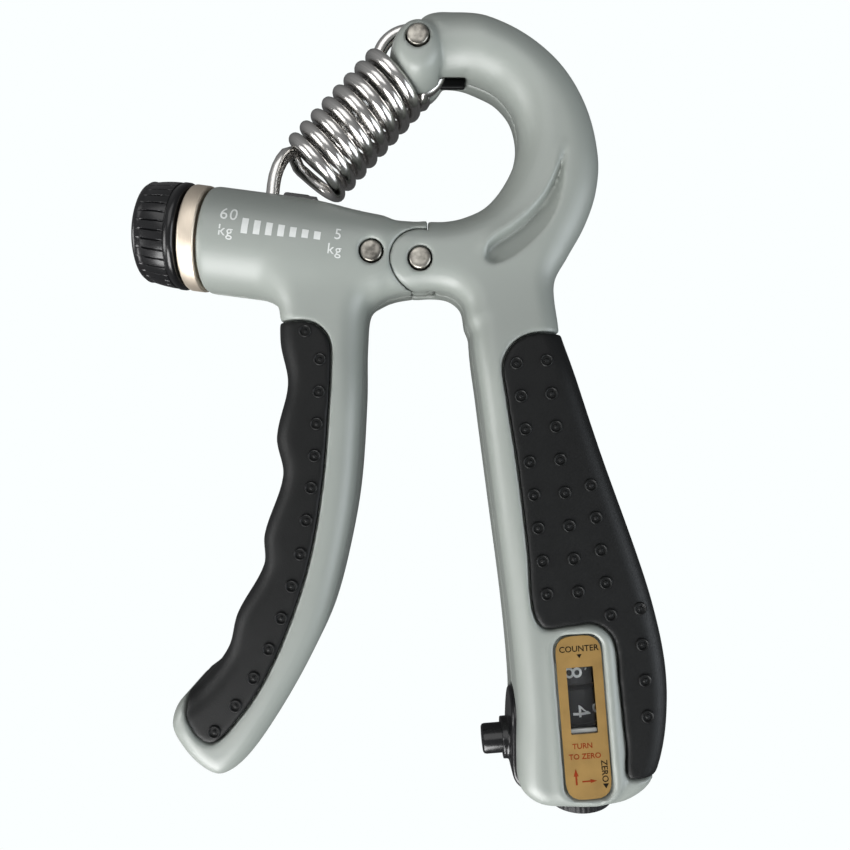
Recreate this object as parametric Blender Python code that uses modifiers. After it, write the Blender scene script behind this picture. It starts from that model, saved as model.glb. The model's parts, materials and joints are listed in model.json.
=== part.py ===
"""Adjustable hand grip strengthener with a squeeze counter.

The grip lies on its back.  +Y runs from the handles up to the nose, +X points to the palm
handle and +Z is the front.  Outlines and places are in millimetres from the pivot's centre.
"""
import math

import bmesh
import bpy
from mathutils import Matrix, Vector

MM = 0.001
GAP = 0.3                       # clearance between pieces that touch or run on each other

# Where the pivot's centre stands in the part's frame
PIVOT_AT = Vector((4.59, 27.67, 11.7))

# Thickness, measured from the mid-plane to the front face
ARM_HALF = 8.7
HANDLE_HALF = 11.7
LEVER_HALF = 10.2
ARM_ROUND = 4.0
HANDLE_ROUND = 4.0
PAD_DEPTH = 1.4                 # rubber over the core on the flat faces
PAD_SIDE = 2.0                  # rubber over the core round the edge
WALL = 2.2

# Knuckle
CHEEK_RADIUS = 5.45
TONGUE_HALF = 3.0
TONGUE_RADIUS = 6.3
KNUCKLE_SEAM_X = 1.5
PIN_RADIUS = 2.2
BUSH_RADIUS = 3.6

# Barrel and adjuster, along an axis through the pivot
BARREL_TILT = math.radians(7.5)
BARREL_RADIUS = 10.4
BARREL_BORE = 8.8
BARREL_START = 12.0
BARREL_MOUTH = 41.8
COLLAR_END = 45.4
KNOB_END = 54.4
LEVER_PIN_AT = 9.2
SCREW_RADIUS = 1.7
SCREW_END_RADIUS = 1.5
NUT_RADIUS = 2.6
SLOT_HALF = 1.8
HOOK_PIN_RADIUS = 1.0
HOOK_PIN_AT = 28.1
HOOK_PIN_HEIGHT = 6.7

# Spring
NOSE_PIN = Vector((-0.4, 41.7, 0.0))
SPRING_LEAN = math.radians(47.2)
WIRE_RADIUS = 1.3
COIL_RADIUS = 6.45
COIL_PITCH = 3.16
COIL_START = 5.0                # from the nose pin to the coil's first half turn, along the spring
COIL_TURNS = 8.5
COIL_STEPS = 10                 # straight steps in one turn
SPRING_BUSH_RADIUS = 3.2
LOOP_DROP = 1.6                 # loop's centre below the nose pin

# Counter, in the lower end of the palm handle
HANDLE_TILT = math.radians(4.6)
COUNTER_AT = Vector((29.5, -81.0, 2.0))
WHEEL_RADIUS = 6.2
WHEEL_WIDTH = 6.6
TENS_AT = -4.4
UNITS_AT = 2.9
RATCHET_AT = 7.6
RATCHET_TEETH = 10
WINDOW_AT = 0.4
LABEL_AT = 4.0
LABEL_SIZE = (8.4, 29.4)
WINDOW_SIZE = (4.7, 11.8)
RESET_START = 20.0
RESET_END = 23.4
RESET_RADIUS = 6.2
SHAFT_RADIUS = 1.4
BUTTON_TIP = Vector((12.2, -93.7, 0.0))
BUTTON_RADIUS = 2.8
STEM_END = 11.0                 # from the button's tip to the end of its stem
BEZEL_WIDTH = 11.0
BEZEL_LENGTH = 16.6

# Screws that close the shells from the back
FRAME_SCREWS = [(25.7, 28.5), (18.5, -3.5), (23.6, -98.6)]
LEVER_SCREWS = [(-14.0, -20.0), (-16.0, -50.0), (-28.6, -82.6)]
SCREW_SHANK = 1.2
SCREW_HEAD = 2.2
SCREW_REACH = 4.0
HEAD_DEPTH = 2.1                # depth of the head's recess from the back face
BOSS_WALL = 1.7

# Outlines, counter-clockwise seen from the front
ARM_OUTLINE = [
    (-5.8, 43.6), (-4.5, 40.0), (-1.2, 38.1), (3.2, 38.2), (8.8, 38.0), (12.4, 36.4), (15.4, 34.1),
    (18.0, 30.0), (19.2, 24.8), (18.5, 20.2), (16.1, 15.1), (12.6, 11.0), (8.3, 8.9), (4.8, 8.2),
    (1.5, 8.3), (-3.0, 8.6), (-3.0, -5.2), (2.6, -5.3), (5.9, -6.0), (8.2, -8.0), (9.6, -12.5),
    (18.0, -16.0), (26.6, -13.0), (26.3, -3.0), (28.6, 1.3), (31.9, 7.2), (34.1, 13.5), (34.6, 20.5),
    (32.5, 29.7), (27.9, 37.8), (21.1, 43.9), (13.0, 47.8), (4.5, 49.3), (-1.2, 49.1), (-4.5, 47.2),
]
PALM_OUTLINE = [
    (11.2, -8.4), (9.9, -13.0), (11.4, -26.1), (14.1, -46.9), (16.8, -67.7), (18.3, -84.4),
    (18.2, -93.0), (18.8, -99.4), (22.0, -102.4), (27.0, -103.0), (34.0, -102.7), (38.9, -101.3),
    (42.9, -97.6), (45.2, -91.0), (46.0, -82.0), (45.4, -74.0), (43.3, -64.5), (40.3, -55.0),
    (33.5, -36.0), (27.4, -16.9), (25.2, -9.0), (21.0, -5.8), (15.5, -5.6),
]
LEVER_OUTLINE = [
    (5.0, 8.2), (-1.1, 8.9), (-12.6, 10.9), (-21.1, 12.9), (-27.0, 8.0), (-29.5, -3.0),
    (-27.2, -9.0), (-26.6, -16.0), (-25.0, -23.6), (-27.0, -33.6), (-25.8, -40.8), (-29.3, -51.8),
    (-29.4, -57.6), (-34.4, -66.8), (-36.1, -73.2), (-40.7, -79.3), (-45.4, -83.4), (-46.7, -87.5),
    (-44.9, -91.4), (-41.3, -95.3), (-37.4, -97.0), (-33.4, -94.7), (-28.4, -88.3), (-21.6, -76.8),
    (-17.4, -67.4), (-14.2, -55.0), (-12.1, -42.6), (-11.0, -26.0), (-10.7, -15.0), (-9.6, -8.2),
    (-5.5, -5.4), (0.0, -5.0), (5.0, -5.0),
]
LEVER_HOLLOW = [
    (-14.2, -13.2), (-21.6, -12.8), (-22.2, -17.5), (-20.6, -24.0), (-22.3, -33.0), (-21.3, -41.0),
    (-24.6, -52.5), (-24.9, -58.8), (-30.0, -68.6), (-31.9, -75.5), (-37.2, -82.2), (-41.2, -86.2),
    (-40.3, -89.2), (-36.6, -92.2), (-32.5, -88.8), (-25.4, -76.6), (-21.2, -66.4), (-17.9, -54.4),
    (-15.7, -42.4), (-14.5, -26.5),
]
PALM_PAD_REGION = [
    (60.0, -13.0), (25.4, -14.2), (20.6, -14.4), (17.2, -16.2), (15.2, -20.0), (15.8, -26.0),
    (17.8, -38.7), (19.7, -54.4), (20.6, -65.0), (22.6, -68.4), (27.1, -68.0), (32.0, -67.7),
    (35.2, -70.4), (36.3, -78.2), (37.6, -90.0), (38.6, -96.8), (60.0, -90.0),
]
FINGER_PAD_REGION = [
    (-60.0, -11.7), (-25.4, -11.7), (-20.1, -12.1), (-17.3, -14.4), (-16.5, -17.5), (-16.9, -29.6),
    (-18.0, -42.6), (-20.4, -56.5), (-24.4, -69.0), (-29.4, -79.8), (-35.0, -87.4), (-38.3, -90.1),
    (-41.0, -89.0), (-43.2, -85.4), (-44.0, -82.0), (-60.0, -76.0),
]

MATERIALS = {
    "body_grey": ((0.33, 0.34, 0.34), 0.42, 0.0),
    "grip_rubber": ((0.012, 0.013, 0.013), 0.68, 0.0),
    "black_plastic": ((0.02, 0.02, 0.02), 0.4, 0.0),
    "steel": ((0.62, 0.62, 0.62), 0.22, 1.0),
    "brass": ((0.7, 0.52, 0.22), 0.3, 1.0),
    "champagne": ((0.72, 0.6, 0.46), 0.3, 1.0),
    "label_gold": ((0.62, 0.5, 0.24), 0.35, 0.6),
    "wheel_plastic": ((0.015, 0.015, 0.015), 0.5, 0.0),
    "bush_plastic": ((0.8, 0.79, 0.75), 0.5, 0.0),
    "clear_plastic": ((0.8, 0.85, 0.87), 0.08, 0.0),
}


def make_material(name):
    """Principled material of the named finish, made once."""
    if name in bpy.data.materials:
        return bpy.data.materials[name]
    colour, roughness, metallic = MATERIALS[name]
    material = bpy.data.materials.new(name)
    material.use_nodes = True
    shader = material.node_tree.nodes["Principled BSDF"]
    shader.inputs["Base Color"].default_value = (*colour, 1.0)
    shader.inputs["Roughness"].default_value = roughness
    shader.inputs["Metallic"].default_value = metallic
    return material


def place(x, y, z=0.0):
    """Point in the part's frame, in metres, from millimetres off the pivot."""
    return (PIVOT_AT + Vector((x, y, z))) * MM


def add_object(name, data, finish, matrix=None):
    """Object in the grip's collection, or in the cutters' collection when finish is None."""
    obj = bpy.data.objects.new(name, data)
    obj.matrix_world = matrix if matrix else Matrix.Translation(place(0.0, 0.0))
    if finish:
        obj.data.materials.append(make_material(finish))
        grip_parts.objects.link(obj)
    else:
        obj.hide_render = True
        obj.display_type = "WIRE"
        cutters.objects.link(obj)
    return obj


def axis_matrix(start, direction):
    """Local Z along direction, local origin at start (millimetres off the pivot)."""
    turn = direction.to_track_quat("Z", "Y").to_matrix().to_4x4()
    return Matrix.Translation(place(*start)) @ turn


def finish_mesh(bm, name):
    mesh = bpy.data.meshes.new(name)
    bm.to_mesh(mesh)
    bm.free()
    return mesh


def shade(obj):
    """Smooth shading with sharp edges kept."""
    obj.data.shade_smooth()
    obj.data.set_sharp_from_angle(angle=math.radians(35.0))
    return obj


def cylinder(name, start, end, radius, finish=None, segments=24):
    """Solid cylinder between two points."""
    bm = bmesh.new()
    length = (end - start).length
    bmesh.ops.create_cone(bm, cap_ends=True, segments=segments, radius1=radius * MM,
                          radius2=radius * MM, depth=length * MM)
    middle = (start + end) / 2
    return shade(add_object(name, finish_mesh(bm, name), finish, axis_matrix(middle, end - start)))


def block(name, centre, size, finish=None, tilt=0.0):
    """Box with its own X turned by tilt about Z."""
    bm = bmesh.new()
    bmesh.ops.create_cube(bm, size=1.0, matrix=Matrix.Diagonal((*(s * MM for s in size), 1.0)))
    matrix = Matrix.Translation(place(*centre)) @ Matrix.Rotation(tilt, 4, "Z")
    return add_object(name, finish_mesh(bm, name), finish, matrix)


def turned(name, start, direction, profile, finish=None, steps=20):
    """Turned solid: profile of (radius, height), down the outer side, closed if it has a bore."""
    bm = bmesh.new()
    verts = [bm.verts.new((radius * MM, 0.0, height * MM)) for radius, height in profile]
    for first, second in zip(verts, verts[1:]):
        bm.edges.new((first, second))
    if profile[0][0] > 0.0:
        bm.edges.new((verts[-1], verts[0]))
    obj = add_object(name, finish_mesh(bm, name), finish, axis_matrix(start, direction))
    screw = obj.modifiers.new("turn", "SCREW")
    screw.steps = steps
    screw.render_steps = steps
    screw.use_merge_vertices = True
    screw.merge_threshold = 0.00001
    screw.use_smooth_shade = False
    return obj


def ring(name, start, direction, length, outer, inner, finish=None, steps=20):
    """Plain sleeve or washer."""
    profile = [(outer, length), (outer, 0.0), (inner, 0.0), (inner, length)]
    return turned(name, start, direction, profile, finish, steps)


def mesh_from_curve(curve_object, name, finish):
    """Mesh object with welded caps in place of a curve object."""
    graph = bpy.context.evaluated_depsgraph_get()
    mesh = bpy.data.meshes.new_from_object(curve_object.evaluated_get(graph))
    bm = bmesh.new()
    bm.from_mesh(mesh)
    bmesh.ops.remove_doubles(bm, verts=bm.verts, dist=0.000005)
    bmesh.ops.recalc_face_normals(bm, faces=bm.faces)
    bm.to_mesh(mesh)
    bm.free()
    mesh.name = name
    matrix = curve_object.matrix_world.copy()
    bpy.data.objects.remove(curve_object)
    return add_object(name, mesh, finish, matrix)


def outline_solid(name, outlines, half, finish=None, rounding=0.0, inset=0.0, matrix=None,
                  smooth=True, resolution=2):
    """Flat solid of one outer outline and any holes, with rounded edges where rounding is set."""
    curve = bpy.data.curves.new(name, "CURVE")
    curve.dimensions = "2D"
    curve.fill_mode = "BOTH"
    curve.extrude = (half - rounding) * MM
    curve.bevel_depth = rounding * MM
    curve.bevel_resolution = 1
    curve.offset = -(rounding + inset) * MM
    curve.resolution_u = resolution
    for outline in outlines:
        spline = curve.splines.new("BEZIER" if smooth else "POLY")
        points = spline.bezier_points if smooth else spline.points
        points.add(len(outline) - 1)
        for knot, (x, y) in zip(points, outline):
            if smooth:
                knot.co = (x * MM, y * MM, 0.0)
                knot.handle_left_type = "AUTO"
                knot.handle_right_type = "AUTO"
            else:
                knot.co = (x * MM, y * MM, 0.0, 1.0)
        spline.use_cyclic_u = True
    guide = bpy.data.objects.new(name + "_outline", curve)
    guide.matrix_world = matrix if matrix else Matrix.Translation(place(0.0, 0.0))
    cutters.objects.link(guide)
    bpy.context.view_layer.update()
    return shade(mesh_from_curve(guide, name, finish))


def wire(name, points, radius, finish, start_at=Vector((0.0, 0.0, 0.0))):
    """Round wire with closed ends through the given points."""
    curve = bpy.data.curves.new(name, "CURVE")
    curve.dimensions = "3D"
    curve.bevel_depth = radius * MM
    curve.bevel_resolution = 2
    curve.use_fill_caps = True
    spline = curve.splines.new("POLY")
    spline.points.add(len(points) - 1)
    for knot, point in zip(spline.points, points):
        knot.co = (*((point - start_at) * MM), 1.0)
    guide = bpy.data.objects.new(name + "_path", curve)
    guide.matrix_world = Matrix.Translation(place(*start_at))
    cutters.objects.link(guide)
    bpy.context.view_layer.update()
    return shade(mesh_from_curve(guide, name, finish))


def combine(target, operation, *others, solver="EXACT"):
    """Boolean of target with each of the others.

    The rounded outline bodies need the MANIFOLD solver: EXACT drops material where their
    rounded edges run close together.
    """
    for other in others:
        modifier = target.modifiers.new(other.name, "BOOLEAN")
        modifier.operation = operation
        modifier.solver = solver
        modifier.object = other
    return target


def settle(obj):
    """Replace an object's modifiers by the mesh that they make."""
    bpy.context.view_layer.update()
    graph = bpy.context.evaluated_depsgraph_get()
    mesh = bpy.data.meshes.new_from_object(obj.evaluated_get(graph))
    obj.modifiers.clear()
    obj.data = mesh
    return obj


def copy_of(obj, name, finish):
    return add_object(name, obj.data.copy(), finish, obj.matrix_world.copy())


def circle_points(radius, count, centre=(0.0, 0.0)):
    angles = [2.0 * math.pi * step / count for step in range(count)]
    return [(centre[0] + radius * math.cos(a), centre[1] + radius * math.sin(a)) for a in angles]


def stadium_points(width, height, steps=6):
    """Slot outline with round ends along Y."""
    radius = width / 2
    rise = height / 2 - radius
    points = []
    for side, base in ((1.0, 0.0), (-1.0, math.pi)):
        for step in range(steps + 1):
            angle = base + math.pi * step / steps
            points.append((radius * math.cos(angle), side * rise + radius * math.sin(angle)))
    return points


def pin_profile(radius, half):
    """Rivet with domed heads, standing from -half to half."""
    top = [(0.0, half), (radius * 0.6, half - 0.15), (radius, half - 0.7)]
    return top + [(r, -h) for r, h in reversed(top)]


def rivet(name, centre, half, finish="steel"):
    return turned(name, centre, Vector((0.0, 0.0, 1.0)), pin_profile(PIN_RADIUS, half), finish, 20)


def bore(name, centre, radius):
    """Cutter right through the thickness."""
    low = Vector((centre[0], centre[1], -30.0))
    high = Vector((centre[0], centre[1], 30.0))
    return cylinder(name, low, high, radius, segments=20)


# Directions of the three tilted mechanisms
BARREL_AXIS = Vector((-math.cos(BARREL_TILT), math.sin(BARREL_TILT), 0.0))
BARREL_UP = Vector((math.sin(BARREL_TILT), math.cos(BARREL_TILT), 0.0))
SPRING_AXIS = Vector((math.cos(SPRING_LEAN), math.sin(SPRING_LEAN), 0.0))
SPRING_SIDE = Vector((-SPRING_AXIS.y, SPRING_AXIS.x, 0.0))
COUNTER_AXIS = Vector((math.sin(HANDLE_TILT), -math.cos(HANDLE_TILT), 0.0))
BUTTON_AXIS = Vector((math.cos(HANDLE_TILT), math.sin(HANDLE_TILT), 0.0))
FRONT = Vector((0.0, 0.0, 1.0))


def on_barrel(distance, height=0.0, z=0.0):
    return BARREL_AXIS * distance + BARREL_UP * height + FRONT * z


HOOK_PIN = on_barrel(HOOK_PIN_AT, HOOK_PIN_HEIGHT)


def on_counter(distance, side=0.0, z=0.0):
    return COUNTER_AT + COUNTER_AXIS * distance + BUTTON_AXIS * side + FRONT * z


def half_cutters():
    """Boxes that take away all behind or all in front of the seam."""
    reach = 60.0
    seam = GAP / 2
    rear = block("behind_seam", (0.0, -25.0, seam - reach / 2), (240.0, 240.0, reach))
    front = block("ahead_of_seam", (0.0, -25.0, reach / 2 - seam), (240.0, 240.0, reach))
    return rear, front


def pad_and_groove(name, body, outline, region, half, finish):
    """Rubber pad wrapped round a core, and the cutter that makes room for it in the shells."""
    core = outline_solid(name + "_core", [outline], half - PAD_DEPTH - GAP, rounding=2.5,
                         inset=PAD_SIDE + GAP)
    groove = outline_solid(name + "_groove", [region], 30.0)
    combine(groove, "DIFFERENCE", core, solver="MANIFOLD")
    settle(groove)
    liner = outline_solid(name + "_liner", [outline], half - PAD_DEPTH, rounding=2.5, inset=PAD_SIDE)
    patch = outline_solid(name + "_patch", [region], 30.0, inset=GAP)
    pad = copy_of(body, name, finish)
    combine(pad, "INTERSECT", patch, solver="MANIFOLD")
    combine(pad, "DIFFERENCE", liner, solver="MANIFOLD")
    return settle(pad), groove


def closing_screws(name, places, face):
    """Countersunk screws that close a pair of shells, driven from the back."""
    profile = [(0.0, SCREW_REACH), (SCREW_SHANK, SCREW_REACH), (SCREW_SHANK, -face + 1.9),
               (SCREW_HEAD, -face + 0.9), (SCREW_HEAD, -face + 0.5), (0.0, -face + 0.5)]
    return [turned(f"{name}_{index}", (x, y, 0.0), FRONT, profile, "steel", 14)
            for index, (x, y) in enumerate(places, start=1)]


def screw_holes(name, places, top, radius):
    """Cutters of one radius for a group of screws, from behind the grip up to the height top."""
    holes = []
    for index, (x, y) in enumerate(places):
        base = Vector((x, y, 0.0))
        holes.append(cylinder(f"{name}_{index}", base + FRONT * -30.0, base + FRONT * top, radius + GAP,
                              segments=14))
    return holes


def split_shells(body, names, shared_cuts, front_cuts, back_cuts):
    """Front and back shells of a body, each with its own openings."""
    shells = []
    for name, half_cut, own_cuts in zip(names, half_cutters(), (front_cuts, back_cuts)):
        shell = copy_of(body, name, "body_grey")
        combine(shell, "DIFFERENCE", half_cut, *shared_cuts, *own_cuts, solver="MANIFOLD")
        shells.append(shade(settle(shell)))
    return shells


def make_frame():
    """C-shaped arm with the palm handle, its pad, pins and screws."""
    arm = outline_solid("frame_body", [ARM_OUTLINE], ARM_HALF, rounding=ARM_ROUND)
    knuckle_end = block("knuckle_end", (-18.5, 2.0, 0.0), (40.0, 40.0, 60.0))
    combine(arm, "DIFFERENCE", knuckle_end, solver="MANIFOLD")
    handle = outline_solid("palm_handle", [PALM_OUTLINE], HANDLE_HALF, rounding=HANDLE_ROUND)
    cheeks = cylinder("cheeks", FRONT * -ARM_HALF, FRONT * ARM_HALF, CHEEK_RADIUS, segments=40)
    combine(arm, "UNION", handle, cheeks, solver="MANIFOLD")
    body = settle(arm)
    pad, groove = pad_and_groove("palm_grip_pad", body, PALM_OUTLINE, PALM_PAD_REGION, HANDLE_HALF,
                                 "grip_rubber")
    hollow = outline_solid("palm_hollow", [PALM_OUTLINE], HANDLE_HALF - PAD_DEPTH - GAP - WALL,
                           inset=PAD_SIDE + WALL + GAP)
    arm_hollow = outline_solid("arm_hollow", [ARM_OUTLINE], ARM_HALF - WALL, inset=WALL + 0.6)
    keep = [bore(f"screw_boss_{i}", at, SCREW_SHANK + BOSS_WALL) for i, at in enumerate(FRAME_SCREWS)]
    keep.append(bore("nose_boss", NOSE_PIN, PIN_RADIUS + BOSS_WALL + 0.7))
    keep.append(bore("pivot_boss", (0.0, 0.0), TONGUE_RADIUS + 4.0))
    for space in (hollow, arm_hollow):
        combine(space, "DIFFERENCE", *keep, solver="MANIFOLD")
        settle(space)
    tongue_room = cylinder("tongue_room", FRONT * -(TONGUE_HALF + GAP), FRONT * (TONGUE_HALF + GAP),
                           TONGUE_RADIUS + 0.6, segments=40)
    loop_centre = NOSE_PIN - SPRING_AXIS * 2.6
    loop_room = cylinder("loop_room", loop_centre + FRONT * -SLOT_HALF, loop_centre + FRONT * SLOT_HALF,
                         8.8, segments=32)
    shared = screw_holes("frame_shank_room", FRAME_SCREWS, SCREW_REACH + GAP, SCREW_SHANK)
    shared.append(bore("nose_bore", NOSE_PIN, PIN_RADIUS + GAP))
    shared.append(bore("pivot_bore", (0.0, 0.0), PIN_RADIUS + GAP))
    shared += [loop_room, tongue_room, arm_hollow, hollow, groove, *counter_room()]
    heads = screw_holes("frame_head_room", FRAME_SCREWS, -ARM_HALF + HEAD_DEPTH, SCREW_HEAD)
    shells = split_shells(body, ("frame_front_shell", "frame_back_shell"), shared, window_room(), heads)
    pins = [rivet("pivot_pin", (0.0, 0.0, 0.0), ARM_HALF + 0.4), rivet("nose_pin", NOSE_PIN, ARM_HALF + 0.4)]
    return [*shells, pad, *pins, *closing_screws("frame_screw", FRAME_SCREWS, ARM_HALF)]


def counter_room():
    """Room in both frame shells for the wheels, the button, its bezel and the reset knob."""
    return [
        block("wheel_room", on_counter(0.8, 1.2, -1.3), (16.4, 24.6, 16.4), tilt=HANDLE_TILT),
        cylinder("button_room", BUTTON_TIP, BUTTON_TIP + BUTTON_AXIS * 12.0, BUTTON_RADIUS + 0.8),
        outline_solid("bezel_room", [stadium_points(BEZEL_WIDTH + 2 * GAP, BEZEL_LENGTH + 2 * GAP)], 4.0,
                      smooth=False, matrix=bezel_matrix(2.9)),
        cylinder("reset_room", on_counter(RESET_START - GAP), on_counter(RESET_END + 10.0),
                 RESET_RADIUS + 0.5, segments=32),
        cylinder("shaft_room", on_counter(-12.0), on_counter(RESET_END), SHAFT_RADIUS + GAP),
    ]


def bezel_matrix(depth):
    """Local Z along the button, local Y along the handle, at a depth from the button's tip."""
    turn = Matrix((-FRONT, -COUNTER_AXIS, BUTTON_AXIS)).transposed().to_4x4()
    return Matrix.Translation(place(*(BUTTON_TIP + BUTTON_AXIS * depth))) @ turn


def window_room():
    """Recess for the label and the opening over the number wheels, in the front shell."""
    label = on_counter(LABEL_AT)
    window = on_counter(WINDOW_AT)
    return [
        block("label_room", (label.x, label.y, HANDLE_HALF + 4.3),
              (LABEL_SIZE[0] + 0.6, LABEL_SIZE[1] + 0.6, 10.0), tilt=HANDLE_TILT),
        block("window_room", (window.x, window.y, HANDLE_HALF),
              (WINDOW_SIZE[0] + 1.7, WINDOW_SIZE[1] + 1.8, 10.0), tilt=HANDLE_TILT),
    ]


def make_counter():
    """Two-wheel counter: chassis, shaft, wheels, ratchet, pawl, pinion, label and window."""
    label = on_counter(LABEL_AT)
    window = on_counter(WINDOW_AT)
    plate = block("counter_label", (label.x, label.y, HANDLE_HALF - 0.2), (*LABEL_SIZE, 0.4),
                  "label_gold", HANDLE_TILT)
    combine(plate, "DIFFERENCE",
            block("label_opening", (window.x, window.y, HANDLE_HALF), (*WINDOW_SIZE, 4.0), tilt=HANDLE_TILT))
    pane = block("counter_window", (window.x, window.y, 10.4),
                 (WINDOW_SIZE[0] + 1.1, WINDOW_SIZE[1] + 1.2, 0.8), "clear_plastic", HANDLE_TILT)
    chassis = block("counter_chassis", on_counter(0.9, 1.2, -8.6), (15.4, 23.0, 1.2), "black_plastic",
                    HANDLE_TILT)
    for index, distance in enumerate((-9.7, 11.6)):
        end = block(f"chassis_end_{index}", on_counter(distance, 0.0, -3.4), (10.0, 1.2, 10.6),
                    tilt=HANDLE_TILT)
        combine(chassis, "UNION", end)
    combine(chassis, "DIFFERENCE",
            cylinder("chassis_bore", on_counter(-14.0), on_counter(16.0), SHAFT_RADIUS + GAP),
            block("button_notch", on_counter(11.6, -4.0, -4.0), (4.2, 3.0, 7.8), tilt=HANDLE_TILT))
    shaft = cylinder("counter_shaft", on_counter(-10.8), on_counter(RESET_START + 1.9), SHAFT_RADIUS,
                     "steel", 16)
    bored = SHAFT_RADIUS + GAP
    tens, units = [ring(name, on_counter(middle - WHEEL_WIDTH / 2), COUNTER_AXIS, WHEEL_WIDTH, WHEEL_RADIUS,
                        bored, "wheel_plastic", 20)
                   for name, middle in (("tens_wheel", TENS_AT), ("units_wheel", UNITS_AT))]
    ratchet = outline_solid("ratchet_wheel", [ratchet_points(), circle_points(bored, 16)], 1.0,
                            "black_plastic", smooth=False,
                            matrix=axis_matrix(on_counter(RATCHET_AT), COUNTER_AXIS))
    rise = RESET_END - RESET_START
    knob_profile = [
        (0.0, rise), (RESET_RADIUS - 0.5, rise), (RESET_RADIUS, rise - 0.5), (RESET_RADIUS, 0.3),
        (RESET_RADIUS - 0.3, 0.0), (bored, 0.0), (bored, 2.2), (0.0, 2.2),
    ]
    knob = turned("reset_knob", on_counter(RESET_START), COUNTER_AXIS, knob_profile, "black_plastic", 32)
    pinion_at = on_counter(-0.75, 8.9)
    pinion = outline_solid("transfer_pinion", [gear_points(8, 1.1, 1.75), circle_points(0.95, 12)], 0.8,
                           "bush_plastic", smooth=False,
                           matrix=axis_matrix(pinion_at - COUNTER_AXIS * 2.0, COUNTER_AXIS))
    pinion_shaft = cylinder("pinion_shaft", pinion_at - COUNTER_AXIS * 3.4, pinion_at - COUNTER_AXIS * 0.65,
                            0.6, "steel", 12)
    detent = block("detent_spring", on_counter(RATCHET_AT, 6.0, -3.2), (0.4, 1.6, 8.2), "steel",
                   HANDLE_TILT)
    frame_items = [plate, pane, chassis, pinion, pinion_shaft, detent]
    return frame_items, [units, ratchet], [tens], [knob, shaft]


def ratchet_points():
    """Saw teeth round the ratchet wheel."""
    points = []
    for tooth in range(RATCHET_TEETH):
        start = 2.0 * math.pi * tooth / RATCHET_TEETH
        points.append((5.0 * math.cos(start), 5.0 * math.sin(start)))
        points.append((4.0 * math.cos(start + 0.08), 4.0 * math.sin(start + 0.08)))
        points.append((4.4 * math.cos(start + 0.35), 4.4 * math.sin(start + 0.35)))
    return points


def gear_points(teeth, root, tip):
    """Straight-sided gear teeth."""
    points = []
    for tooth in range(teeth):
        for radius, shift in ((root, -0.3), (tip, -0.14), (tip, 0.14), (root, 0.3)):
            angle = 2.0 * math.pi * (tooth + shift) / teeth
            points.append((radius * math.cos(angle), radius * math.sin(angle)))
    return points


def make_button():
    """Count button with its pawl and return spring, and the bezel that guides it."""
    tip = [(0.0, STEM_END), (1.6, STEM_END), (1.6, 7.7), (3.3, 7.7), (3.3, 6.9), (BUTTON_RADIUS, 6.9),
           (BUTTON_RADIUS, 0.5), (BUTTON_RADIUS - 0.5, 0.0), (0.0, 0.0)]
    button = turned("count_button", BUTTON_TIP, BUTTON_AXIS, tip, "black_plastic", 24)
    strip_at = BUTTON_TIP + BUTTON_AXIS * (STEM_END + GAP + 0.4)
    pawl = block("ratchet_pawl", strip_at - FRONT * 2.0, (0.8, 2.5, 7.0), "steel", HANDLE_TILT)
    combine(pawl, "UNION",
            block("pawl_finger", strip_at - COUNTER_AXIS * 1.75 - FRONT * 4.35, (0.8, 6.0, 2.3),
                  tilt=HANDLE_TILT))
    turns = 3
    steps = 6
    coil = []
    for step in range(turns * steps + 1):
        angle = 2.0 * math.pi * step / steps
        along = 8.1 + 2.5 * step / (turns * steps)
        lift = Vector((-BUTTON_AXIS.y, BUTTON_AXIS.x, 0.0)) * math.cos(angle) + FRONT * math.sin(angle)
        coil.append(BUTTON_TIP + BUTTON_AXIS * along + lift * 2.3)
    spring = wire("button_return_spring", coil, 0.2, "steel", BUTTON_TIP)
    plate_outlines = [stadium_points(BEZEL_WIDTH, BEZEL_LENGTH), circle_points(BUTTON_RADIUS + GAP, 24)]
    bezel = outline_solid("button_bezel", plate_outlines, 0.6, "black_plastic", smooth=False,
                          matrix=bezel_matrix(5.9))
    collar = ring("bezel_collar", BUTTON_TIP + BUTTON_AXIS * 4.2, BUTTON_AXIS, 1.6, BUTTON_RADIUS + 1.1,
                  BUTTON_RADIUS + GAP, None, 24)
    combine(bezel, "UNION", collar)
    return [button, pawl, spring], bezel


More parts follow.
